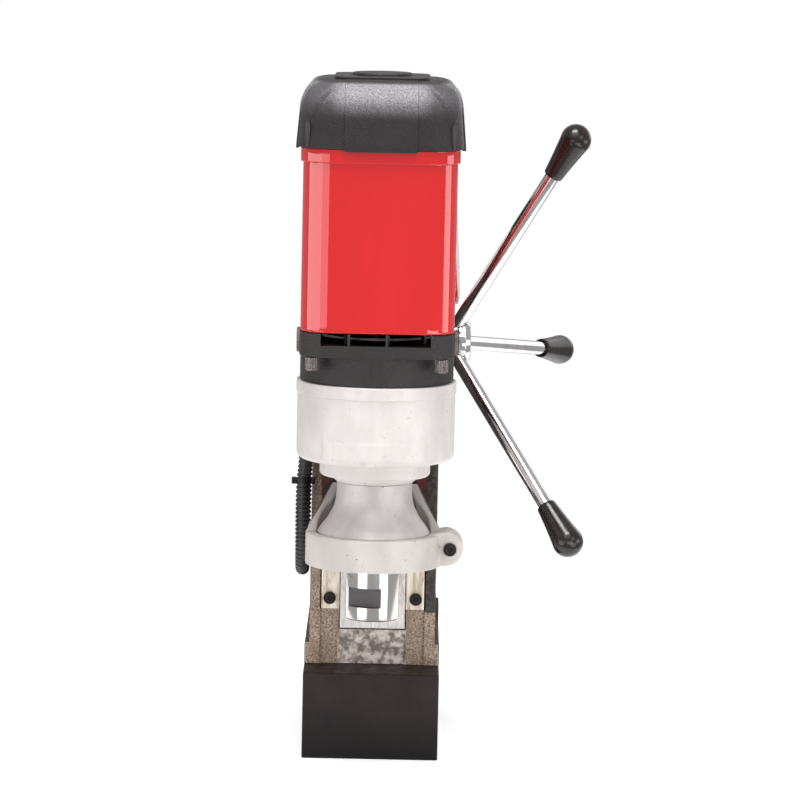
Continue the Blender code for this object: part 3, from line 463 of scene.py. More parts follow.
def red_casting():
    """The same red sprayed thinly on rough castings, painted dark in cloudy tones as painted shade."""
    f = Finish("red casting", 0.5)
    # Painted shade: both reds are dark because the saddle lies in shade.
    shade_tone = f.cloud(7, 5, 0.35, 0.62)
    f.colour(f.mix(shade_tone, (40, 10, 9), (84, 15, 14)))
    f.rough(f.cloud(3, 4, 0.3, 0.7, 0.38, 0.62))
    f.bump(f.noise(1.1, 4), 0.14)
    return f.material


def spark_black(name, tone, grain, depth, roughness, specular=0.5, painted_highlight=0.0):
    """Moulded black plastic with a spark-eroded grain. Where a highlight strength is set, the cap's upward
    shoulders get a pale grainy painted highlight.
    """
    f = Finish(name, roughness, specular=specular)
    base = f.mix(f.cloud(12, 3), tuple(0.9 * c for c in tone), tone)
    base = f.mix(f.times(f.worn_edges(0.6), 0.35), base, (96, 90, 90))
    if painted_highlight:
        # A painted highlight: pale grains where the shoulders face upwards, strongest on each side's middle
        # panel.
        z, aside = f.axis("Z"), f.sum("ABSOLUTE", f.axis("X"))
        ahead = f.sum("ABSOLUTE", f.sum("SUBTRACT", f.axis("Y"), AXIS_Y * MM))
        panel = f.fit(f.sum("MINIMUM", aside, ahead), 20.5 * MM, 31 * MM, 1.0, 0.3)
        shoulder = f.times(f.fit(z, 380 * MM, 393 * MM), f.fit(z, 401.6 * MM, 399.6 * MM))
        shoulder = f.times(shoulder, panel)
        shoulder = f.times(shoulder, f.fit(f.noise(grain, 2, roughness=0.8), 0.35, 0.65, 0.45, 1.0))
        # The painted highlight's pale colour, laid over the black.
        base = f.mix(f.times(shoulder, painted_highlight), base, (214, 211, 218))
    f.colour(base)
    f.rough(f.cloud(1.4, 3, 0.3, 0.7, roughness - 0.06, roughness + 0.12))
    f.bump(f.noise(grain, 2, roughness=0.7), depth)
    return f.material


def satin_black():
    """Satin black enamel on ground steel, with rubbed corners, dust and a few scratches."""
    f = Finish("satin black paint", 0.5, specular=0.2)
    base = f.mix(f.cloud(22, 4), (34, 24, 26), (42, 32, 33))
    # Darker towards the bottom, almost black at z = 0.
    base = f.mix(f.fit(f.axis("Z"), 0.0, 46 * MM), (6, 4, 4), base)
    wear = f.times(f.worn_edges(0.7), f.cloud(2.5, 4, 0.46, 0.6))
    base = f.mix(wear, base, (120, 108, 98))
    dust = f.cloud(0.9, 2, 0.74, 0.8)
    f.colour(f.mix(f.times(dust, 0.5), base, (128, 116, 106)))
    scratch = f.fit(f.noise(3, 2, f.stretched(1.0, 1.0, 0.05)), 0.62, 0.7)
    f.rough(f.sum("ADD", f.cloud(6, 5, 0.3, 0.7, 0.38, 0.54), f.times(scratch, 0.1)))
    f.bump(f.noise(1.3, 3), 0.03)
    f.bump(f.noise(9, 2), 0.06)
    return f.material


def cast_white(name, light, shade, roughness=0.45, grain=0.07, metallic=0.25, inner_shade=False):
    """Shot-blasted aluminium under a thin pale lacquer, with casting specks and faint grey smears. Its last
    flag adds painted shade inside the ring.
    """
    f = Finish(name, roughness, metallic)
    cloud = f.fit(f.noise(18, 4, f.stretched(1.0, 1.0, 0.5)), 0.32, 0.68)
    base = f.mix(cloud, shade, light)
    smear = f.fit(f.noise(5, 5, distortion=0.6), 0.63, 0.72, 0.0, 0.25)
    base = f.mix(smear, base, (170, 160, 155))
    pit = f.cloud(2.1, 1, 0.755, 0.79)
    base = f.mix(pit, base, (120, 108, 104))
    if inner_shade:
        # Painted shade: forward-facing faces just behind the quill and above the ring are darkened to (60,
        # 44, 42).
        inside = f.fit(f.axis("Y"), (AXIS_Y + 8.0) * MM, (AXIS_Y + 22.0) * MM)
        inside = f.times(inside, f.fit(f.axis("Z"), RING_HIGH * MM, (RING_HIGH + 4.0) * MM))
        inside = f.times(inside, f.fit(f.facing("Y"), -0.5, -0.15))
        base = f.mix(inside, base, (60, 44, 42))
    f.colour(base)
    f.rough(f.cloud(2, 3, 0.3, 0.7, roughness - 0.06, roughness + 0.08))
    f.bump(f.noise(0.9, 3), grain)
    f.bump(pit, -0.12)
    return f.material


def rough_iron():
    """Sand-cast iron: speckled and bare on the front, black paint on the outer sides, grey in the channel,
    and painted shade on the right wall's front.
    """
    f = Finish("rough cast iron", 0.6)
    speckle = f.noise(1.15, 6, roughness=0.72)
    bare = f.mix(f.fit(speckle, 0.36, 0.62), (92, 74, 60), (190, 168, 150))
    bare = f.mix(f.cloud(9, 3, 0.4, 0.7, 0.0, 0.5), bare, (128, 112, 98))
    glint = f.cloud(0.8, 2, 0.66, 0.72)
    bare = f.mix(glint, bare, (222, 212, 200))
    grey = f.mix(f.cloud(4, 5, 0.35, 0.65), (128, 116, 110), (226, 214, 208))
    x = f.sum("ABSOLUTE", f.axis("X"))
    channel = f.sum("LESS_THAN", x, 20.2 * MM)
    bare = f.mix(channel, bare, grey)
    # This dark colour is black paint on the outer sides and painted shade on the right wall's front.
    paint = f.mix(f.cloud(3, 5, 0.4, 0.62), (44, 38, 36), (70, 62, 58))
    outside = f.sum("GREATER_THAN", x, 37.15 * MM)
    side = f.fit(f.sum("ABSOLUTE", f.facing("X")), 0.5, 0.7)
    side = f.times(side, f.sum("GREATER_THAN", x, 34 * MM))
    back = f.fit(f.facing("Y"), 0.4, 0.6)
    dark = f.times(outside, f.past("Z", 64))
    # Painted shade: the right wall's front above 83 mm takes the dark paint colour.
    right = f.times(f.past("X", 30.9), f.past("Z", 83))
    for part in (side, back, f.past("Z", 339), right):
        dark = f.sum("MAXIMUM", dark, part)
    ragged = f.fit(f.sum("ADD", dark, f.times(f.noise(2, 4), 0.3)), 0.55, 0.75)
    f.colour(f.mix(ragged, bare, paint))
    f.rough(f.fit(speckle, 0.3, 0.7, 0.46, 0.8))
    f.metal(f.fit(ragged, 0.0, 1.0, 0.35, 0.0))
    f.bump(speckle, 0.55)
    f.bump(f.noise(5, 3), 0.3)
    return f.material


def keeper_brass():
    """Pale brass wear strips, brushed along their length and stained brown by oil."""
    f = Finish("keeper brass", 0.36, 0.55)
    along = f.stretched(1.0, 1.0, 0.1)
    grain = f.noise(1.6, 4, along)
    base = f.mix(f.fit(grain, 0.3, 0.7), (204, 190, 168), (242, 234, 220))
    stain = f.fit(f.noise(7, 5, f.stretched(1.0, 1.0, 0.3), distortion=0.8), 0.54, 0.66)
    base = f.mix(f.times(stain, 0.7), base, (168, 122, 74))
    rust = f.fit(f.noise(2.2, 4, f.stretched(1.0, 1.0, 0.22)), 0.64, 0.72)
    base = f.mix(f.times(rust, 0.8), base, (112, 76, 44))
    f.colour(f.mix(f.worn_edges(0.4), base, (250, 244, 232)))
    f.rough(f.fit(grain, 0.3, 0.7, 0.3, 0.46))
    f.bump(f.noise(0.7, 3, along), 0.05)
    return f.material


def gear_steel():
    """Bare steel with tool marks squeezed into lines, and a little oil."""
    f = Finish("gear steel", 0.24, 1.0)
    marks = f.noise(0.35, 2, f.stretched(1.0, 1.0, 6.0))
    base = f.mix(f.fit(marks, 0.3, 0.7), (150, 148, 146), (186, 183, 180))
    oil = f.fit(f.noise(8, 5, distortion=1.0), 0.5, 0.66, 0.0, 0.2)
    f.colour(f.mix(oil, base, (150, 112, 70)))
    f.rough(f.cloud(5, 4, 0.3, 0.7, 0.18, 0.32))
    f.bump(marks, 0.006)
    return f.material


def slide_steel():
    """A planed slide: long scratches, oily smears and bright rubbed spots."""
    f = Finish("slide steel", 0.42, 0.55)
    lines = f.noise(0.8, 3, f.stretched(1, 1, 0.12))
    base = f.mix(f.fit(lines, 0.3, 0.7), (206, 199, 196), (236, 230, 228))
    smear = f.fit(f.noise(7, 5, f.stretched(1, 1, 0.5), distortion=0.8), 0.5, 0.64, 0.0, 0.4)
    base = f.mix(smear, base, (146, 130, 122))
    spot = f.fit(f.noise(1.3, 3, f.stretched(1, 1, 0.4)), 0.66, 0.72)
    f.colour(f.mix(spot, base, (250, 247, 244)))
    f.rough(f.cloud(3, 4, 0.3, 0.7, 0.3, 0.52))
    f.bump(lines, 0.03)
    return f.material


def spindle_steel():
    """Ground steel with turning marks and oil stains. Where flats are milled inside its outer radius it is
    dull and painted dark grey, a painted dark reflection; its bottom edge is painted dark too.
    """
    f = Finish("ground steel", 0.13, 1.0)
    marks = f.noise(0.3, 2, f.stretched(1, 1, 14))
    base = f.mix(f.fit(marks, 0.3, 0.7), (214, 210, 208), (228, 225, 223))
    oil = f.fit(f.noise(9, 5, distortion=1.0), 0.52, 0.64, 0.0, 0.4)
    high = f.fit(f.axis("Z"), 108 * MM, 116 * MM)
    base = f.mix(f.times(oil, high), base, (186, 150, 104))
    x, y = f.axis("X"), f.sum("SUBTRACT", f.axis("Y"), AXIS_Y * MM)
    reach = f.sum("SQRT", f.sum("ADD", f.times(x, x), f.times(y, y)))
    # The milled flats are dull, and their dark grey is a painted reflection of dark surroundings.
    flat = f.sum("LESS_THAN", reach, (SPINDLE_RADIUS - 0.12) * MM)
    flat = f.times(flat, f.past("Z", SPINDLE_LOW + 2))
    cuts = f.noise(0.7, 3, f.stretched(1, 1, 0.25))
    base = f.mix(flat, base, f.mix(cuts, (66, 61, 63), (88, 82, 84)))
    # A painted dark reflection on the bottom chamfer: the lowest 0.7 mm is dark.
    lip = f.sum("LESS_THAN", f.axis("Z"), (SPINDLE_LOW + 0.7) * MM)
    f.colour(f.mix(lip, base, (52, 44, 42)))
    flat = f.sum("MAXIMUM", flat, lip)
    f.metal(f.fit(flat, 0.0, 1.0, 1.0, 0.2))
    f.rough(f.fit(flat, 0.0, 1.0, 0.12, 0.5))
    f.bump(marks, 0.003)
    return f.material


def chrome():
    f = Finish("chrome plate", 0.06, 1.0)
    f.colour(f.mix(f.cloud(14, 3), (214, 212, 213), (232, 231, 232)))
    f.rough(f.fit(f.noise(1.8, 5, f.stretched(1, 1, 1)), 0.3, 0.75, 0.045, 0.12))
    f.bump(f.noise(5, 2), 0.008)
    return f.material


def black_oxide(name, dark, light, edge):
    f = Finish(name, 0.34, 0.75)
    base = f.mix(f.cloud(1.2, 4, 0.35, 0.65), dark, light)
    f.colour(f.mix(f.worn_edges(0.25), base, edge))
    f.rough(f.cloud(0.9, 3, 0.3, 0.7, 0.26, 0.44))
    f.bump(f.noise(0.5, 2), 0.012)
    return f.material


def bakelite():
    f = Finish("bakelite", 0.26, coat=0.4, coat_roughness=0.12, specular=0.35)
    f.colour(f.mix(f.cloud(6, 4), (20, 14, 14), (34, 25, 23)))
    f.rough(f.cloud(2.5, 5, 0.3, 0.7, 0.2, 0.34))
    f.bump(f.noise(3, 3), 0.012)
    return f.material


def moulded(name, dark, light, roughness=0.3, grain=1.2, depth=0.02):
    """Plain moulded plastic with flow clouding and a fine skin."""
    f = Finish(name, roughness)
    f.colour(f.mix(f.cloud(5, 4), dark, light))
    f.rough(f.cloud(1.5, 3, 0.3, 0.7, roughness - 0.05, roughness + 0.1))
    f.bump(f.noise(grain, 3), depth)
    return f.material


def copper_windings():
    f = Finish("copper windings", 0.3, 0.8)
    turns = f.noise(0.7, 1, f.stretched(1.0, 1.0, 0.08))
    f.colour(f.mix(f.fit(turns, 0.35, 0.65), (96, 44, 22), (196, 112, 66)))
    f.bump(turns, 0.2)
    return f.material


def circuit_card():
    f = Finish("circuit card", 0.35)
    tracks = f.fit(f.cells(6.0, f.stretched(1.0, 1.0, 0.5)), 0.28, 0.32)
    pads = f.fit(f.cells(5.0), 0.16, 0.12)
    base = f.mix(tracks, (28, 104, 52), (18, 76, 38))
    f.colour(f.mix(pads, base, (196, 190, 176)))
    f.bump(tracks, -0.05)
    return f.material


def resin():
    f = Finish("potting resin", 0.25)
    f.colour(f.mix(f.cloud(8, 4), (40, 30, 22), (66, 50, 36)))
    f.rough(f.cloud(4, 4, 0.3, 0.7, 0.16, 0.34))
    f.bump(f.noise(6, 3), 0.12)
    return f.material


# ---------------------------------------------------------------- camera, light and floor

def place_camera():
    data = bpy.data.cameras.new("camera")
    data.lens, data.sensor_width = LENS, SENSOR
    data.clip_start, data.clip_end = 0.05, 60.0
    camera = bpy.data.objects.new("camera", data)
    bpy.context.scene.collection.objects.link(camera)
    pitch = Matrix.Rotation(math.radians(90 + CAMERA_PITCH), 4, "X")
    roll = Matrix.Rotation(math.radians(CAMERA_ROLL), 4, "Z")
    camera.matrix_world = Matrix.Translation(CAMERA_PLACE) @ (pitch @ roll)
    bpy.context.scene.camera = camera
    bpy.context.scene.view_settings.view_transform = "Standard"


def softbox(name, azimuth, elevation, distance, width, height, radiance, aim):
    """A rectangular light at an azimuth from the front, positive to the right, aimed at a height."""
    data = bpy.data.lights.new(name, "AREA")
    data.shape, data.size, data.size_y = "RECTANGLE", width, height
    data.energy = radiance * math.pi * width * height
    light = bpy.data.objects.new(name, data)
    bpy.context.scene.collection.objects.link(light)
    a, e = math.radians(azimuth), math.radians(elevation)
    away = Vector((math.sin(a) * math.cos(e), -math.cos(a) * math.cos(e), math.sin(e)))
    light.location = Vector((0.0, LIGHT_AIM_Y, aim)) + away * distance
    light.rotation_euler = away.to_track_quat("Z", "Y").to_euler()
    light.visible_camera = False


def light_studio():
    """Upright boxes make the streaks on the gloss and the steel. Boxes over the front light the faces."""
    softbox("top front box", -4, 50, 1.25, 0.95, 0.75, 1.5, 0.25)
    softbox("shoulder box", -2, 72, 0.8, 0.44, 0.32, 14.0, 0.39)
    softbox("left long box", -66, 0, 0.85, 1.0, 0.24, 2.0, 0.205)
    softbox("left front box", -22, 0, 1.1, 0.54, 0.24, 1.3, 0.205)
    softbox("right long box", 82, 0, 0.85, 0.45, 0.25, 2.2, 0.205)
    softbox("right fill box", 46, 24, 1.1, 0.5, 0.4, 1.7, 0.25)
    softbox("rear right box", 140, 14, 1.0, 0.7, 0.34, 0.9, 0.25)
    softbox("neck fill box", 28, 0, 0.42, 0.3, 0.12, 2.6, 0.138)
    softbox("low left strip", -43.5, 0, 0.42, 0.31, 0.16, 2.1, 0.045)
    softbox("low right strip", 50, 0, 0.42, 0.28, 0.16, 2.1, 0.045)


def set_world():
    """A pale grey sky, a little darker below, that the camera sees as white."""
    world = bpy.data.worlds.new("studio")
    bpy.context.scene.world = world
    world.use_nodes = True
    tree = world.node_tree
    tree.nodes.clear()
    kinds = "OutputWorld Background Background MixShader LightPath TexCoord SeparateXYZ MapRange".split()
    nodes = [tree.nodes.new(f"ShaderNode{kind}") for kind in kinds]
    out, sky, backdrop, mix, path, place, split, level = nodes
    for name, value in (("From Min", -0.02), ("From Max", 0.2), ("To Min", 0.42), ("To Max", 0.5)):
        level.inputs[name].default_value = value
    sky.inputs["Color"].default_value = (1.0, 0.99, 0.985, 1.0)
    backdrop.inputs["Color"].default_value = (1.0, 1.0, 1.0, 1.0)
    for source, socket in (
        (place.outputs["Generated"], split.inputs[0]), (split.outputs["Z"], level.inputs["Value"]),
        (level.outputs[0], sky.inputs["Strength"]), (path.outputs["Is Camera Ray"], mix.inputs[0]),
        (sky.outputs[0], mix.inputs[1]), (backdrop.outputs[0], mix.inputs[2]),
        (mix.outputs[0], out.inputs[0]),
    ):
        tree.links.new(source, socket)


def lay_floor():
    mesh = bmesh.new()
    bmesh.ops.create_circle(mesh, cap_ends=True, radius=FLOOR_RADIUS, segments=128)
    bmesh.ops.translate(mesh, vec=FLOOR_CENTRE, verts=mesh.verts[:])
    data = bpy.data.meshes.new("floor")
    mesh.to_mesh(data)
    mesh.free()
    floor = bpy.data.objects.new("floor", data)
    bpy.context.scene.collection.objects.link(floor)
    f = Finish("floor card", 0.75)
    f.colour(f.mix(f.noise(300, 2), (0.86, 0.86, 0.86, 1), (0.88, 0.88, 0.88, 1)))
    f.shader.inputs["Emission Color"].default_value = (1, 1, 1, 1)
    f.shader.inputs["Emission Strength"].default_value = 0.5
    data.materials.append(f.material)


place_camera()
light_studio()
set_world()
lay_floor()

RED = red_gloss()
RED_CAST = red_casting()
# The cap black's last figure sets the strength of its painted shoulder highlight.
CAP_BLACK = spark_black("cap black", (36, 30, 32), 0.9, 0.4, 0.38, 0.5, 0.5)
FAN_BLACK = spark_black("fan housing black", (42, 36, 37), 1.2, 0.3, 0.5)
BLACK_PAINT = satin_black()
ALUMINIUM = cast_white("cast aluminium", (226, 221, 219), (214, 207, 205), 0.5, 0.07, 0.12)
QUILL_GREY = cast_white("blasted aluminium", (206, 201, 200), (190, 184, 183), 0.44, 0.09, 0.35)
# The ring's last flag paints shade on its rear inner faces.
RING_GREY = cast_white("ring aluminium", (205, 199, 196), (190, 184, 181), 0.55, 0.1, 0.1, True)
IRON = rough_iron()
BRASS = keeper_brass()
SPINDLE_STEEL = spindle_steel()
SLIDE_STEEL = slide_steel()
GEAR_STEEL = gear_steel()
CHROME = chrome()
OXIDE = black_oxide("black oxide steel", (30, 27, 27), (52, 47, 46), (138, 128, 124))
# A lighter copy of the black oxide, its near-white edges painted highlights on the knurled motor screw ribs.
HIGHLIT_OXIDE = black_oxide("highlit black steel", (84, 77, 77), (128, 120, 120), (236, 230, 230))
BAKELITE = bakelite()
BLACK_PLASTIC = moulded("black plastic", (30, 27, 27), (44, 40, 40), 0.42, 0.9, 0.03)
CONDUIT_BLACK = moulded("conduit black", (30, 28, 28), (46, 42, 42), 0.34, 1.6, 0.02)
GREEN = moulded("green plastic", (16, 108, 48), (26, 138, 62), 0.25)
RED_PLASTIC = moulded("red plastic", (158, 18, 20), (196, 28, 30), 0.25)
COPPER = copper_windings()
CARD = circuit_card()
RESIN = resin()
FAN_GREY = moulded("fan grey", (112, 106, 106), (134, 128, 128), 0.4, 2.5, 0.02)
PLUG_GREY = moulded("plug grey", (96, 84, 80), (150, 134, 128), 0.5, 1.2, 0.2)
COVER_WHITE = moulded("cover white", (250, 240, 236), (255, 250, 247), 0.3, 2.5, 0.02)


# ---------------------------------------------------------------- motor

def build_motor():
    levels = softened([
        (-3.0, MOTOR_LOW), (0.0, MOTOR_LOW, 3.0), (0.0, LIP_LOW, 0.35), (LIP_PROUD, LIP_LOW + 0.35, 0.5),
        (LIP_PROUD, MOTOR_TOP, 0.9), (-3.0, MOTOR_TOP),
    ], 6)
    levels = [level for i, level in enumerate(levels) if i == 0 or level != levels[i - 1]]
    rings = []
    for proud, z in levels:
        half_x, half_y, corner = MOTOR_HALF_X + proud, MOTOR_HALF_Y + proud, MOTOR_CORNER + proud
        rings.append([(x, y, z) for x, y in rounded(half_x, half_y, corner, (0, AXIS_Y), 20, 40)])
    shell = piece(
        "motor_shell", "carriage", RED, skin(refined(rings, 4.0)), "motor_housing",
        cut=[rod(41.0, MOTOR_LOW - 1, MOTOR_TOP + 1, steps=96)],
    )

    def ragged(place):
        """A slightly ragged edge where the paint meets the lip."""
        if abs(place.z - LIP_LOW - 0.2) > 0.8:
            return place
        wave = math.sin(place.x * 0.9) + math.sin(place.x * 2.3 + 1.0) + math.sin(place.y * 1.7)
        return place + Vector((0, 0, 0.14 * wave))

    moved(shell, ragged)
    for number in range(1, 5):
        place = Vector((-1 if number % 2 else 1, -1 if number < 3 else 1, 0)) * SCREW_OFFSET
        place += Vector((0, AXIS_Y, FLANGE_LOW - 0.3))
        detailed_screw(
            f"motor_screw_head_{number}", "carriage", f"motor_screw_{number}", 3.9, 7.6, 2.1, 26.0,
            place, (0, 0, -1), ribs=15,
        )


def refined(rings, longest):
    """The rings with more between them, so that none is further than this from the next."""
    result = [rings[0]]
    for a, b in zip(rings, rings[1:]):
        gap = max(abs(a[0][2] - b[0][2]), 1e-6)
        count = max(1, math.ceil(gap / longest))
        for k in range(1, count + 1):
            t = k / count
            result.append([tuple(p + (q - p) * t for p, q in zip(u, v)) for u, v in zip(a, b)])
    return result


def detailed_screw(name, body, node, radius, height, shank, length, place, way, ribs=0):
    """A screw with a hexagon socket. If ribs is set its head is knurled and lighter, with near-white edges as
    painted highlights.
    """
    if ribs:
        head = ribbed(radius, 0.28, ribs, 0.0, height, place, way)
    else:
        head = rod(radius, 0.0, height, place, way, 48, edge=0.5)
    stem = rod(shank, -length, 0.2, place, way, 24)
    key = rod(radius * 0.52, height * 0.45, height + 1, place, way, 6)
    # Knurled heads take the oxide with painted highlights.
    finish = HIGHLIT_OXIDE if ribs else OXIDE
    piece(name, body, finish, head, node, add=[stem], cut=[key], smooth=30)


def build_fan_housing():
    def flange(inset):
        return rounded(FLANGE_HALF - inset, FLANGE_HALF - inset, 16.0 - inset, (0, AXIS_Y), 16)

    cuts = [rod(39.0, 233.5, FLANGE_TOP + 1, steps=96), rod(7.0, FAN_LOW - 1, 235)]
    for left, right in VENTS:
        cuts.append(block((left, AXIS_Y - 50, VENT_LOW), (right, AXIS_Y - 20, FLANGE_TOP + 1)))
        for side in (-1, 1):
            x = sorted((side * 20, side * 50))
            cuts.append(block((x[0], AXIS_Y + left, VENT_LOW), (x[1], AXIS_Y + right, FLANGE_TOP + 1)))
    cuts += [rod(2.7, FLANGE_LOW - 1, FLANGE_TOP + 1, (x, y, 0), steps=24) for x, y in screw_places()]
    for name, side in SIDES:
        plug = ribbed(7.2, 0.35, 22, -0.4, 2.2, (side * FLANGE_HALF, AXIS_Y, 250.7), (side, 0, 0))
        piece(f"fan_plug_{name}", "carriage", PLUG_GREY, plug)
    piece(
        "fan_case", "carriage", FAN_BLACK,
        rod(FLANGE_HALF - 0.05, FAN_LOW, FLANGE_LOW + 1, steps=128, edge=0.5), "fan_housing",
        add=[pillow(flange, FLANGE_LOW, FLANGE_TOP, 0.8)], cut=cuts,
    )
    rim = softened([(32.6, 254.4), (34.2, 254.4, 0.3), (34.2, 255.8, 0.3), (32.6, 255.8)])
    piece("fan_rim", "rotor", FAN_GREY, turned(rim))


def screw_places():
    return [(sx * SCREW_OFFSET, AXIS_Y + sy * SCREW_OFFSET) for sy in (-1, 1) for sx in (-1, 1)]


# ---------------------------------------------------------------- top cap

CAP_SIDE = (
    (47.7, 364.2), (47.5, 371.0), (47.4, 378.0), (47.2, 385.0), (46.7, 389.5), (45.6, 393.0), (43.7, 396.0),
    (40.8, 398.8), (37.0, 400.9), (33.6, 401.9), (30.0, 402.2),
)
CREASE = ((364.2, 39.0), (377.0, 39.0), (384.3, 36.6), (392.3, 32.6), (398.2, 26.5), (402.2, 22.6))
PANEL_HALF = 20.6


def along(table, value):
    """A value read off a table of (place, value) pairs by straight lines."""
    for (a, p), (b, q) in zip(table, table[1:]):
        if value <= b:
            return p + (q - p) * max(0.0, value - a) / (b - a)
    return table[-1][1]


def cap_column_places(half, corner, crease):
    """The places across one side where the cap's mesh has its columns, from its middle to its corner."""
    panel = [PANEL_HALF * i / 6 for i in range(6)]
    edge = [PANEL_HALF - 0.15, PANEL_HALF + 0.15, PANEL_HALF + 0.55]
    flat = [edge[-1] + (crease - 0.6 - edge[-1]) * i / 5 for i in range(1, 6)]
    wall = [crease + 3.4 * i / 6 for i in range(7)]
    last = half - corner + corner * math.sin(math.radians(45))
    lobe = [wall[-1] + (max(last, wall[-1] + 0.6) - wall[-1]) * i / 8 for i in range(1, 8)]
    return panel + edge + flat + wall + lobe, last


def cap_quarter(half, z):
    """A level's columns from a side's middle to its corner: place across, depth and lift of each."""
    corner = min(20.0, half - 10.0)
    crease = min(along(CREASE, z), half - corner + corner * 0.62)
    places, last = cap_column_places(half, corner, crease)
    sunk = (0.5 + 1.3 * step_up(z, 362.0, 388.0)) * (1.0 - step_up(z, 397.0, 402.2))
    quarter = []
    for x in places:
        over = max(0.0, x - (half - corner))
        depth = half - corner + math.sqrt(max(0.0, corner ** 2 - over ** 2))
        inner = 1.0 - step_up(x, crease, crease + 3.4)
        panel = 1.0 - step_up(x, PANEL_HALF - 0.16, PANEL_HALF + 0.16)
        lift = -sunk * inner + 1.15 * panel * (1.0 - 0.85 * step_up(z, 399.5, 402.0))
        quarter.append((x, depth, lift))
    return [*quarter, (last, half - corner + corner * math.cos(math.radians(45)), 0.0)]


def cap_ring(half, z):
    """One level's points round all four sides, and the lift of each."""
    quarter = cap_quarter(half, z)
    side = [(-x, depth, lift) for x, depth, lift in quarter[:0:-1]] + quarter[:-1]
    ring = []
    for k in range(4):
        c, s = math.cos(k * math.pi / 2), math.sin(k * math.pi / 2)
        ring += [Vector((x * c + depth * s, -depth * c + x * s, z)) for x, depth, _ in side]
    return ring, [lift for _, _, lift in side] * 4


def cap_levels():
    """The dome's levels, each point moved along the dome's normal by its lift, and the hem's own lifts."""
    rows = [cap_ring(point.x, point.z) for point in smooth_line([(half, 0.0, z) for half, z in CAP_SIDE], 6)]
    levels = []
    for i, (ring, lifts) in enumerate(rows):
        below, above = rows[max(0, i - 1)][0], rows[min(len(rows) - 1, i + 1)][0]
        level = []
        for j, place in enumerate(ring):
            across = ring[(j + 1) % len(ring)] - ring[j - 1]
            normal = across.cross(above[j] - below[j]).normalized()
            shifted = place + normal * lifts[j]
            level.append((shifted.x, shifted.y + AXIS_Y, shifted.z))
        levels.append(level)
    return levels, rows[0][1]


def build_cap():
    """A square dome. Its corners stand proud of a sunk zone, and a panel runs up the middle of each side."""
    out, hem = cap_levels()
    skirt = [(x, y, z - (1.8 if lift > 0.15 else 0.2)) for (x, y, z), lift in zip(out[0], hem)]
    inner = [(x * 0.97, (y - AXIS_Y) * 0.97 + AXIS_Y, z) for x, y, z in skirt]
    roof = [(x * 0.5, (y - AXIS_Y) * 0.5 + AXIS_Y, 402.5) for x, y, z in out[-1]]
    hollow = [(46.0, 360.0), (46.0, 364.2), (43.0, 364.5), (41.0, 386.0), (34.0, 396.0)]
    hollow = skin([[(x, y, z) for x, y in rounded(h, h, 18.0, (0, AXIS_Y), 10)] for h, z in hollow])
    piece(
        "cap", "carriage", CAP_BLACK, skin([inner, skirt, *out, roof]), "top_cap",
        cut=[hollow], smooth=28, solver="MANIFOLD",
    )

    def plate(inset):
        return rounded(27.2 - inset, 27.2 - inset, 9.0 - inset, (0, AXIS_Y), 10)

    piece("cap_plate", "carriage", CAP_BLACK, pillow(plate, 401.8, 403.6, 0.35))
    disc = softened([
        (0.0, 403.0), (19.2, 403.0), (19.2, 403.7, 0.2), (17.4, 403.7, 0.2), (17.4, 404.5, 0.3),
        (16.6, 405.2, 0.4), (0.0, 405.1),
    ])
    piece("cap_disc", "carriage", CAP_BLACK, turned(disc))
    boss = [(11.3, 371.0), (14.5, 371.0), (14.5, 400.0), (11.3, 400.0)]
    piece("cap_boss", "carriage", BLACK_PLASTIC, turned(boss, steps=48))


# ---------------------------------------------------------------- gearbox, quill and ring

def build_gearbox():
    profile = softened([
        (13.0, BOX_LOW), (22.2, BOX_LOW, 0.6), (25.2, BOX_LOW + 2.6, 0.8), (25.2, BOSS_LOW, 0.3),
        (BOSS_RADIUS - 1.1, BOSS_LOW, 0.3), (BOSS_RADIUS, BOSS_LOW + 1.2, 0.8),
        (BOSS_RADIUS, BOX_FLOOR - 1, 0.3), (BOSS_RADIUS + 1, BOX_FLOOR, 0.5), (BOX_RADIUS, BOX_FLOOR, 5.2),
        (BOX_RADIUS, 221.0, 0.2), (BOX_RADIUS + 0.6, 221.5, 0.3), (BOX_RADIUS + 0.6, BOX_TOP, 0.7),
        (42.5, BOX_TOP), (42.5, 190.0), (16.3, 190.0), (16.3, 177.8), (13.0, 177.8),
    ], 7)
    dense = []
    for a, b in zip(profile, profile[1:] + profile[:1]):
        dense.append(a)
        if a[0] > BOX_RADIUS - 1 and b[0] > BOX_RADIUS - 1 and abs(b[1] - a[1]) > 2:
            dense += between(a, b, math.ceil(abs(b[1] - a[1]) / 0.8))
    case = turned(dense, steps=256)
    housing = piece("gear_case", "carriage", ALUMINIUM, case, "gearbox_housing")

    def pad(place):
        """A slightly raised field on the front, with a step half way up."""
        radial = Vector((place.x, place.y - AXIS_Y, 0))
        if radial.length < BOX_RADIUS - 0.5 or place.y > AXIS_Y or not BOX_FLOOR < place.z < 220.8:
            return place
        across = 1.0 - step_up(abs(place.x + 0.5), 28.6, 30.4)
        lower = 1.0 - step_up(place.z, 196.0, 197.0)
        upper = 1.0 - step_up(place.z, 205.0, 219.0)
        return place + radial.normalized() * across * (0.45 * lower + 0.28 * upper)

    moved(housing, pad)


def build_quill():
    flare = (
        (32.0, 140.6), (30.6, 143.0), (28.0, 146.2), (25.7, 149.6), (23.8, 153.4), (22.5, 157.6),
        (21.8, 163.0),
    )
    curve = [(p.x, p.z) for p in smooth_line([(r, 0.0, z) for r, z in flare], 6)]
    profile = [(26.0, QUILL_LOW), (QUILL_RADIUS, QUILL_LOW), (QUILL_RADIUS, 139.9), *curve]
    profile += [(NECK_RADIUS, QUILL_TOP), (16.2, QUILL_TOP), (16.2, 138.0), (26.0, 138.0)]
    piece("quill", "carriage", QUILL_GREY, turned(profile, steps=192), "quill_housing")


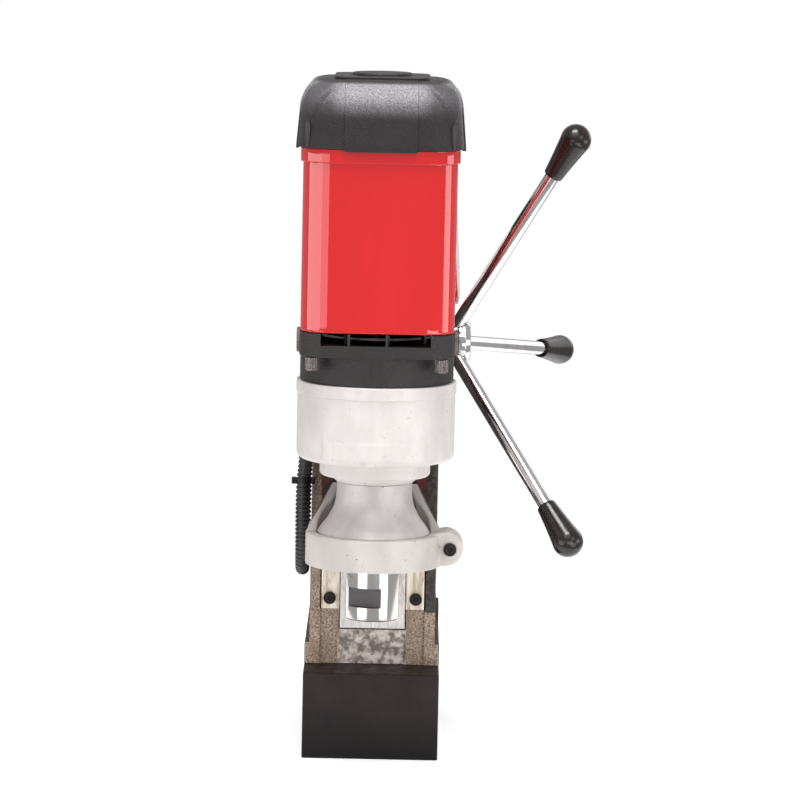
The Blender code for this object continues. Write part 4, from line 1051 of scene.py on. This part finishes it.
def build_ring():
    ear = [(30.0, RING_LOW), *arc((EAR_X, EAR_Z), EAR_RADIUS, -90, 90, 24), (30.0, RING_HIGH)]
    boss = rod(5.4, 0.0, 11.5, (CLAMP_X, AXIS_Y, CLAMP_Z), (0, -1, 0), 48, edge=0.3)
    adds = [
        prism(ear, AXIS_Y - 11, AXIS_Y + 11, "Y"), boss,
        block((-18.9, -73, RING_LOW), (18.9, -53.4, 147.5)),
        block((-24.5, -73, RING_LOW), (24.5, -61.1, 163)),
    ]
    for side in (-1, 1):
        low = [(side * x, y, RING_HIGH - z) for x in (33.4, 38.3) for y in (-108, -88) for z in (6, 0)]
        high = [(side * x, y, z) for x in (19.6, 24.7) for y in (-72, -61.7) for z in (158, 163)]
        adds.append(hull(low + high))
    cuts = [
        block((30.5, AXIS_Y - 1, RING_LOW - 5), (60, AXIS_Y + 1, RING_HIGH + 5)),
        rod(33.0, RING_LOW - 6, QUILL_TOP, steps=128),
        rod(2.6, AXIS_Y - 15, AXIS_Y + 15, (CLAMP_X, 0, CLAMP_Z), "Y", 24),
    ]
    piece(
        "clamp_ring", "carriage", RING_GREY,
        rod(RING_OUTER + 0.15, RING_LOW, RING_HIGH, steps=160), "ring_bracket",
        add=adds, cut=cuts, solver="MANIFOLD", remesh=0.55, smooth=60,
    )
    place = (CLAMP_X, AXIS_Y - 11.8, CLAMP_Z)
    detailed_screw("clamp_bolt", "carriage", "clamp_screw", 3.8, 3.0, 2.2, 20.0, place, (0, -1, 0))


# ---------------------------------------------------------------- spindle

def build_spindle():
    profile = softened([
        (9.0, SPINDLE_LOW, 0.5), (SPINDLE_RADIUS, SPINDLE_LOW, 0.9), (SPINDLE_RADIUS, 137.6), (12.5, 137.6),
        (12.5, 177.0), (8.0, 177.0), (8.0, SPINDLE_TOP), (0.0, SPINDLE_TOP), (0.0, SPINDLE_LOW + 65),
        (7.45, SPINDLE_LOW + 62),
    ], 4)
    flats = []
    for turn in (0, 180):
        pocket = block((-12, -30, 97), (12, -11.5, 108.3))
        pocket.transform(Matrix.Rotation(math.radians(turn - 22.0), 4, "Z"))
        pocket.transform(Matrix.Translation((0, AXIS_Y * MM, 0)))
        flats.append(pocket)
    body = turned(profile, steps=192)
    piece(
        "spindle_body", "spindle_shaft", SPINDLE_STEEL, body, "spindle",
        cut=flats, smooth=25,
    )


# ---------------------------------------------------------------- capstan

def spoke_way(angle):
    tilt, turn = math.radians(SPOKE_TILT), math.radians(angle)
    outward = Vector((0, -math.cos(turn), math.sin(turn)))
    return outward * math.cos(tilt) + Vector((1, 0, 0)) * math.sin(tilt)


def build_capstan():
    ways = {name: spoke_way(angle) for name, angle in SPOKE_ANGLES.items()}
    profile = softened([
        (5.8, 40.0), (12.6, 40.0, 0.8), (12.8, 46.0, 0.3), (12.2, 47.0, 0.3), (12.8, 48.0, 0.3),
        (12.8, 52.0, 1.2), (10.4, 55.0, 1.2), (0.0, 55.2), (0.0, 51.5), (5.8, 51.5),
    ])
    holes = [rod(SPOKE_RADIUS + 0.25, 8.0, 40.0, SPOKE_APEX, way, 40) for way in ways.values()]
    hub = turned(profile, (0, FEED_Y, FEED_Z), "X")
    piece("hub", "capstan", CHROME, hub, "capstan_hub", cut=holes)
    neck = [(4.5, KNOB_START), (5.3, KNOB_START), (5.6, KNOB_START + 0.12), (5.75, KNOB_START + 0.5)]
    ball = arc((0.0, BALL_REACH), BALL_RADIUS, -10, 88, 22)
    swell = [(5.75 + 3.0 * t ** 1.2, KNOB_START + 25.0 * t) for t in (0.1, 0.3, 0.5, 0.7, 0.9)]
    knob = neck + swell + ball + [(0.0, BALL_REACH + BALL_RADIUS), (0.0, ROD_END + 1), (4.5, ROD_END + 1)]
    bar = softened([(0.0, 9.0), (SPOKE_RADIUS, 9.0, 0.3), (SPOKE_RADIUS, ROD_END), (0.0, ROD_END)])
    for name, way in ways.items():
        spoke, grip = turned(bar, SPOKE_APEX, way, 64), turned(knob, SPOKE_APEX, way, 64)
        piece(f"rod_{name}", "capstan", CHROME, spoke, f"spoke_{name}")
        piece(f"grip_{name}", "capstan", BAKELITE, grip, f"knob_{name}", smooth=24)


# ---------------------------------------------------------------- conduit

def build_conduit():
    """A corrugated hose, its ridges set on a smooth line from the carriage down round to the stand."""
    line = smooth_line(CONDUIT_ROUTE, 24)
    lengths = [0.0]
    for a, b in zip(line, line[1:]):
        lengths.append(lengths[-1] + (b - a).length)
    pitch, steps = 2.5, 28
    count = int(lengths[-1] / pitch)
    shape = ((0.0, 3.4), (0.28, 3.45), (0.4, 4.0), (0.5, 4.12), (0.8, 4.12), (0.9, 4.0))
    side = Vector((1, 0, 0))
    rings = []
    for k in range(count):
        for part, radius in shape:
            reach = (k + part) * lengths[-1] / count
            i = max(1, next((n for n, d in enumerate(lengths) if d >= reach), len(line) - 1))
            t = (reach - lengths[i - 1]) / (lengths[i] - lengths[i - 1])
            middle, way = line[i - 1].lerp(line[i], t), (line[i] - line[i - 1]).normalized()
            u = (side - way * side.dot(way)).normalized()
            v = way.cross(u)
            turns = [2 * math.pi * n / steps for n in range(steps)]
            rings.append([middle + (u * math.cos(a) + v * math.sin(a)) * radius for a in turns])
    hose = made("hose", skin(rings), 40)
    hose.data.materials.append(CONDUIT_BLACK)
    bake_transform(hose)
    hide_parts("conduit")
    x, y = -42.1, -58.2
    ears = [
        block((x + low, y - 1.4, 159.6), (x + high, y + 1.2, 163.6), 0.5)
        for low, high in ((-7.0, -4.2), (4.2, 7.0))
    ]
    band = softened([(4.2, 160.0), (4.9, 160.0, 0.3), (4.9, 163.2, 0.3), (4.2, 163.2)])
    piece("hose_clip", "carriage", OXIDE, turned(band, (x, y, 0), steps=48), add=ears)


# ---------------------------------------------------------------- covers, handle and controls

def cover_face(y, z):
    return COVER_X + COVER_LEAN * (y - COVER_FRONT) + COVER_SPREAD * (COVER_HIGH - z)


def build_side_cover():
    """A red cover whose face leans out to the rear and downwards. It has a pale plate and flush screws."""
    middle = ((COVER_FRONT + COVER_REAR) / 2, (COVER_LOW + COVER_HIGH) / 2)

    def outline(inset):
        half = ((COVER_REAR - COVER_FRONT) / 2 - inset, (COVER_HIGH - COVER_LOW) / 2 - inset)
        return rounded(*half, COVER_CORNER - inset, middle, 14, 12)

    def leaning(inset, rise):
        return [(cover_face(y, z) + rise, y, z) for y, z in outline(inset)]

    base = [(37.5, y, z) for y, z in outline(0.0)]
    shell = [base, leaning(0.0, -1.2), leaning(0.1, -0.7), leaning(0.5, -0.2), leaning(1.2, 0.0)]
    piece("cover_shell", "stand", RED, skin(shell), "side_cover")
    plate = [leaning(1.6, 0.02), leaning(1.6, 0.3), leaning(1.8, 0.4)]
    places = [(cover_face(y, z), y, z) for y in (-16.0, 32.0) for z in (279.0, 306.0)]
    sinks = []
    for x, y, z in places:
        sink = [(0.0, x - 1.0), (2.2, x - 1.0), (3.4, x + 0.6), (0.0, x + 0.6)]
        sinks.append(turned(sink, (0, y, z), "X", 32))
    piece("cover_plate", "stand", COVER_WHITE, skin(plate), cut=sinks)
    for i, (x, y, z) in enumerate(places):
        head = softened([(0.0, x + 0.01), (2.7, x + 0.01), (3.0, x + 0.3, 0.1), (0.0, x + 0.35)])
        slot = block((x + 0.1, y - 3.0, z - 0.35), (x + 1.0, y + 3.0, z + 0.35))
        head = turned(head, (0, y, z), "X", 32)
        piece(f"cover_screw_{i}", "stand", GEAR_STEEL, head, cut=[slot])


def build_handle():
    """A moulded carrying handle with finger swells under its grip and two screws at each foot."""
    box = NODE["carry_handle"]
    low, high, front, rear = box[0].z, box[1].z, box[0].y, box[1].y
    middle = ((front + rear) / 2, (low + high) / 2)

    def outline(inset):
        return rounded((rear - front) / 2 - inset, (high - low) / 2 - inset, 9.0 - inset, middle, 10, 8)

    window = []
    for y, z in rounded(26.0, 11.0, 6.0, (middle[0], middle[1] - 0.5), 8, 24):
        swell = 0.9 * math.cos((y - middle[0]) / 13.0 * math.pi) if z > middle[1] + 9 else 0
        window.append((y, z + swell))
    piece(
        "handle_grip", "stand", BLACK_PLASTIC, pillow(outline, -9.0, 9.0, 2.6, "X", 5),
        "carry_handle", cut=[prism(window, -12.0, 12.0, "X")], edge=(0.8, 3),
    )
    for i, y in enumerate((front + 4.8, rear - 4.8)):
        for name, side in SIDES:
            detailed_screw(
                f"handle_screw_{i}_{name}", "stand", (), 2.4, 1.6, 1.4, 4.0,
                (side * 9.0, y, low + 8.0), (side, 0, 0),
            )


def rear_place(name):
    """The middle of a node as seen from behind: its x and z."""
    low, high = NODE[name]
    return (low.x + high.x) / 2, (low.z + high.z) / 2


def build_controls():
    """Fixings, collars and a bezel on the rear cover, and grooves on the mains gland's nut."""
    box = NODE["rear_cover"]
    back = box[1].y
    for name, side in SIDES:
        for i, z in enumerate((box[0].z + 7.0, (box[0].z + box[1].z) / 2, box[1].z - 7.0)):
            detailed_screw(
                f"rear_screw_{name}_{i}", "stand", (), 2.9, 1.7, 1.5, 5.0,
                (side * (box[1].x - 5.0), back, z), (0, 1, 0),
            )
    collar = softened([
        (8.5, back - 1.0), (12.0, back - 1.0), (12.0, back + 1.2, 0.5), (9.4, back + 2.2, 0.5),
        (8.5, back + 2.2),
    ])
    for name in ("start", "stop"):
        x, z = rear_place(f"{name}_button")
        piece(f"{name}_collar", "stand", CHROME, turned(collar, (x, 0, z), "Y", 64))
    middle = rear_place("magnet_rocker")

    def frame_outline(inset):
        return rounded(13.0 - inset, 18.0 - inset, 2.5, middle, 5)

    opening = prism(rounded(9.7, 14.1, 0.8, middle, 3), back - 4, back + 6, "Y")
    bezel = pillow(frame_outline, back + 0.05, back + 1.6, 0.6, "Y")
    piece("rocker_bezel", "stand", BLACK_PLASTIC, bezel, cut=[opening])
    x, z = rear_place("mains_gland")
    place = Vector((x, back + 0.4, z))
    nut = ribbed(10.6, 0.5, 14, 0.0, 6.4, place, (0, 1, 0))
    bore = rod(4.1, -2.0, 24.0, place, (0, 1, 0), 32)
    piece("gland_nut", "stand", BLACK_PLASTIC, nut, cut=[bore])


PLAIN_NODES = (
    (BLACK_PAINT, "magnet_body rear_cover"),
    (RESIN, "magnet_coil"),
    (IRON, "stand_casting"),
    (BRASS, "keeper_strip_left keeper_strip_right pinion_bush_left pinion_bush_right"),
    (BRASS, "brush_holder_left brush_holder_right"),
    (BLACK_PLASTIC, "mains_gland magnet_rocker conduit_gland_stand conduit_gland_carriage cooling_fan"),
    (CARD, "circuit_board"),
    (GREEN, "start_button"),
    (RED_PLASTIC, "stop_button"),
    (SLIDE_STEEL, "carriage_slide"),
    (RED_CAST, "carriage_saddle"),
    (QUILL_GREY, "gearcase_plate"),
    (COPPER, "field_stator"),
    (GEAR_STEEL, "feed_rack pinion_shaft spindle_gear layshaft_pinion layshaft_gear armature"),
    (GEAR_STEEL, "armature_bearing_lower armature_bearing_upper spindle_bearing_lower spindle_bearing_upper"),
    (OXIDE, "foot_screw_front foot_screw_rear"),
)
for finish, names in PLAIN_NODES:
    for name in names.split():
        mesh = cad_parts[name].data
        mesh.materials.clear()
        mesh.materials.append(finish)

for build in (
    build_motor, build_fan_housing, build_cap, build_gearbox, build_quill, build_ring, build_spindle,
    build_capstan, build_conduit, build_side_cover, build_handle, build_controls,
):
    build()
for name, side in SIDES:
    detailed_screw(
        f"keeper_bolt_{name}", "stand", f"keeper_screw_{name}", 3.7, 2.4, 2.1, 14.0,
        (side * 25.5, -52.3, 91.0), (0, -1, 0),
    )
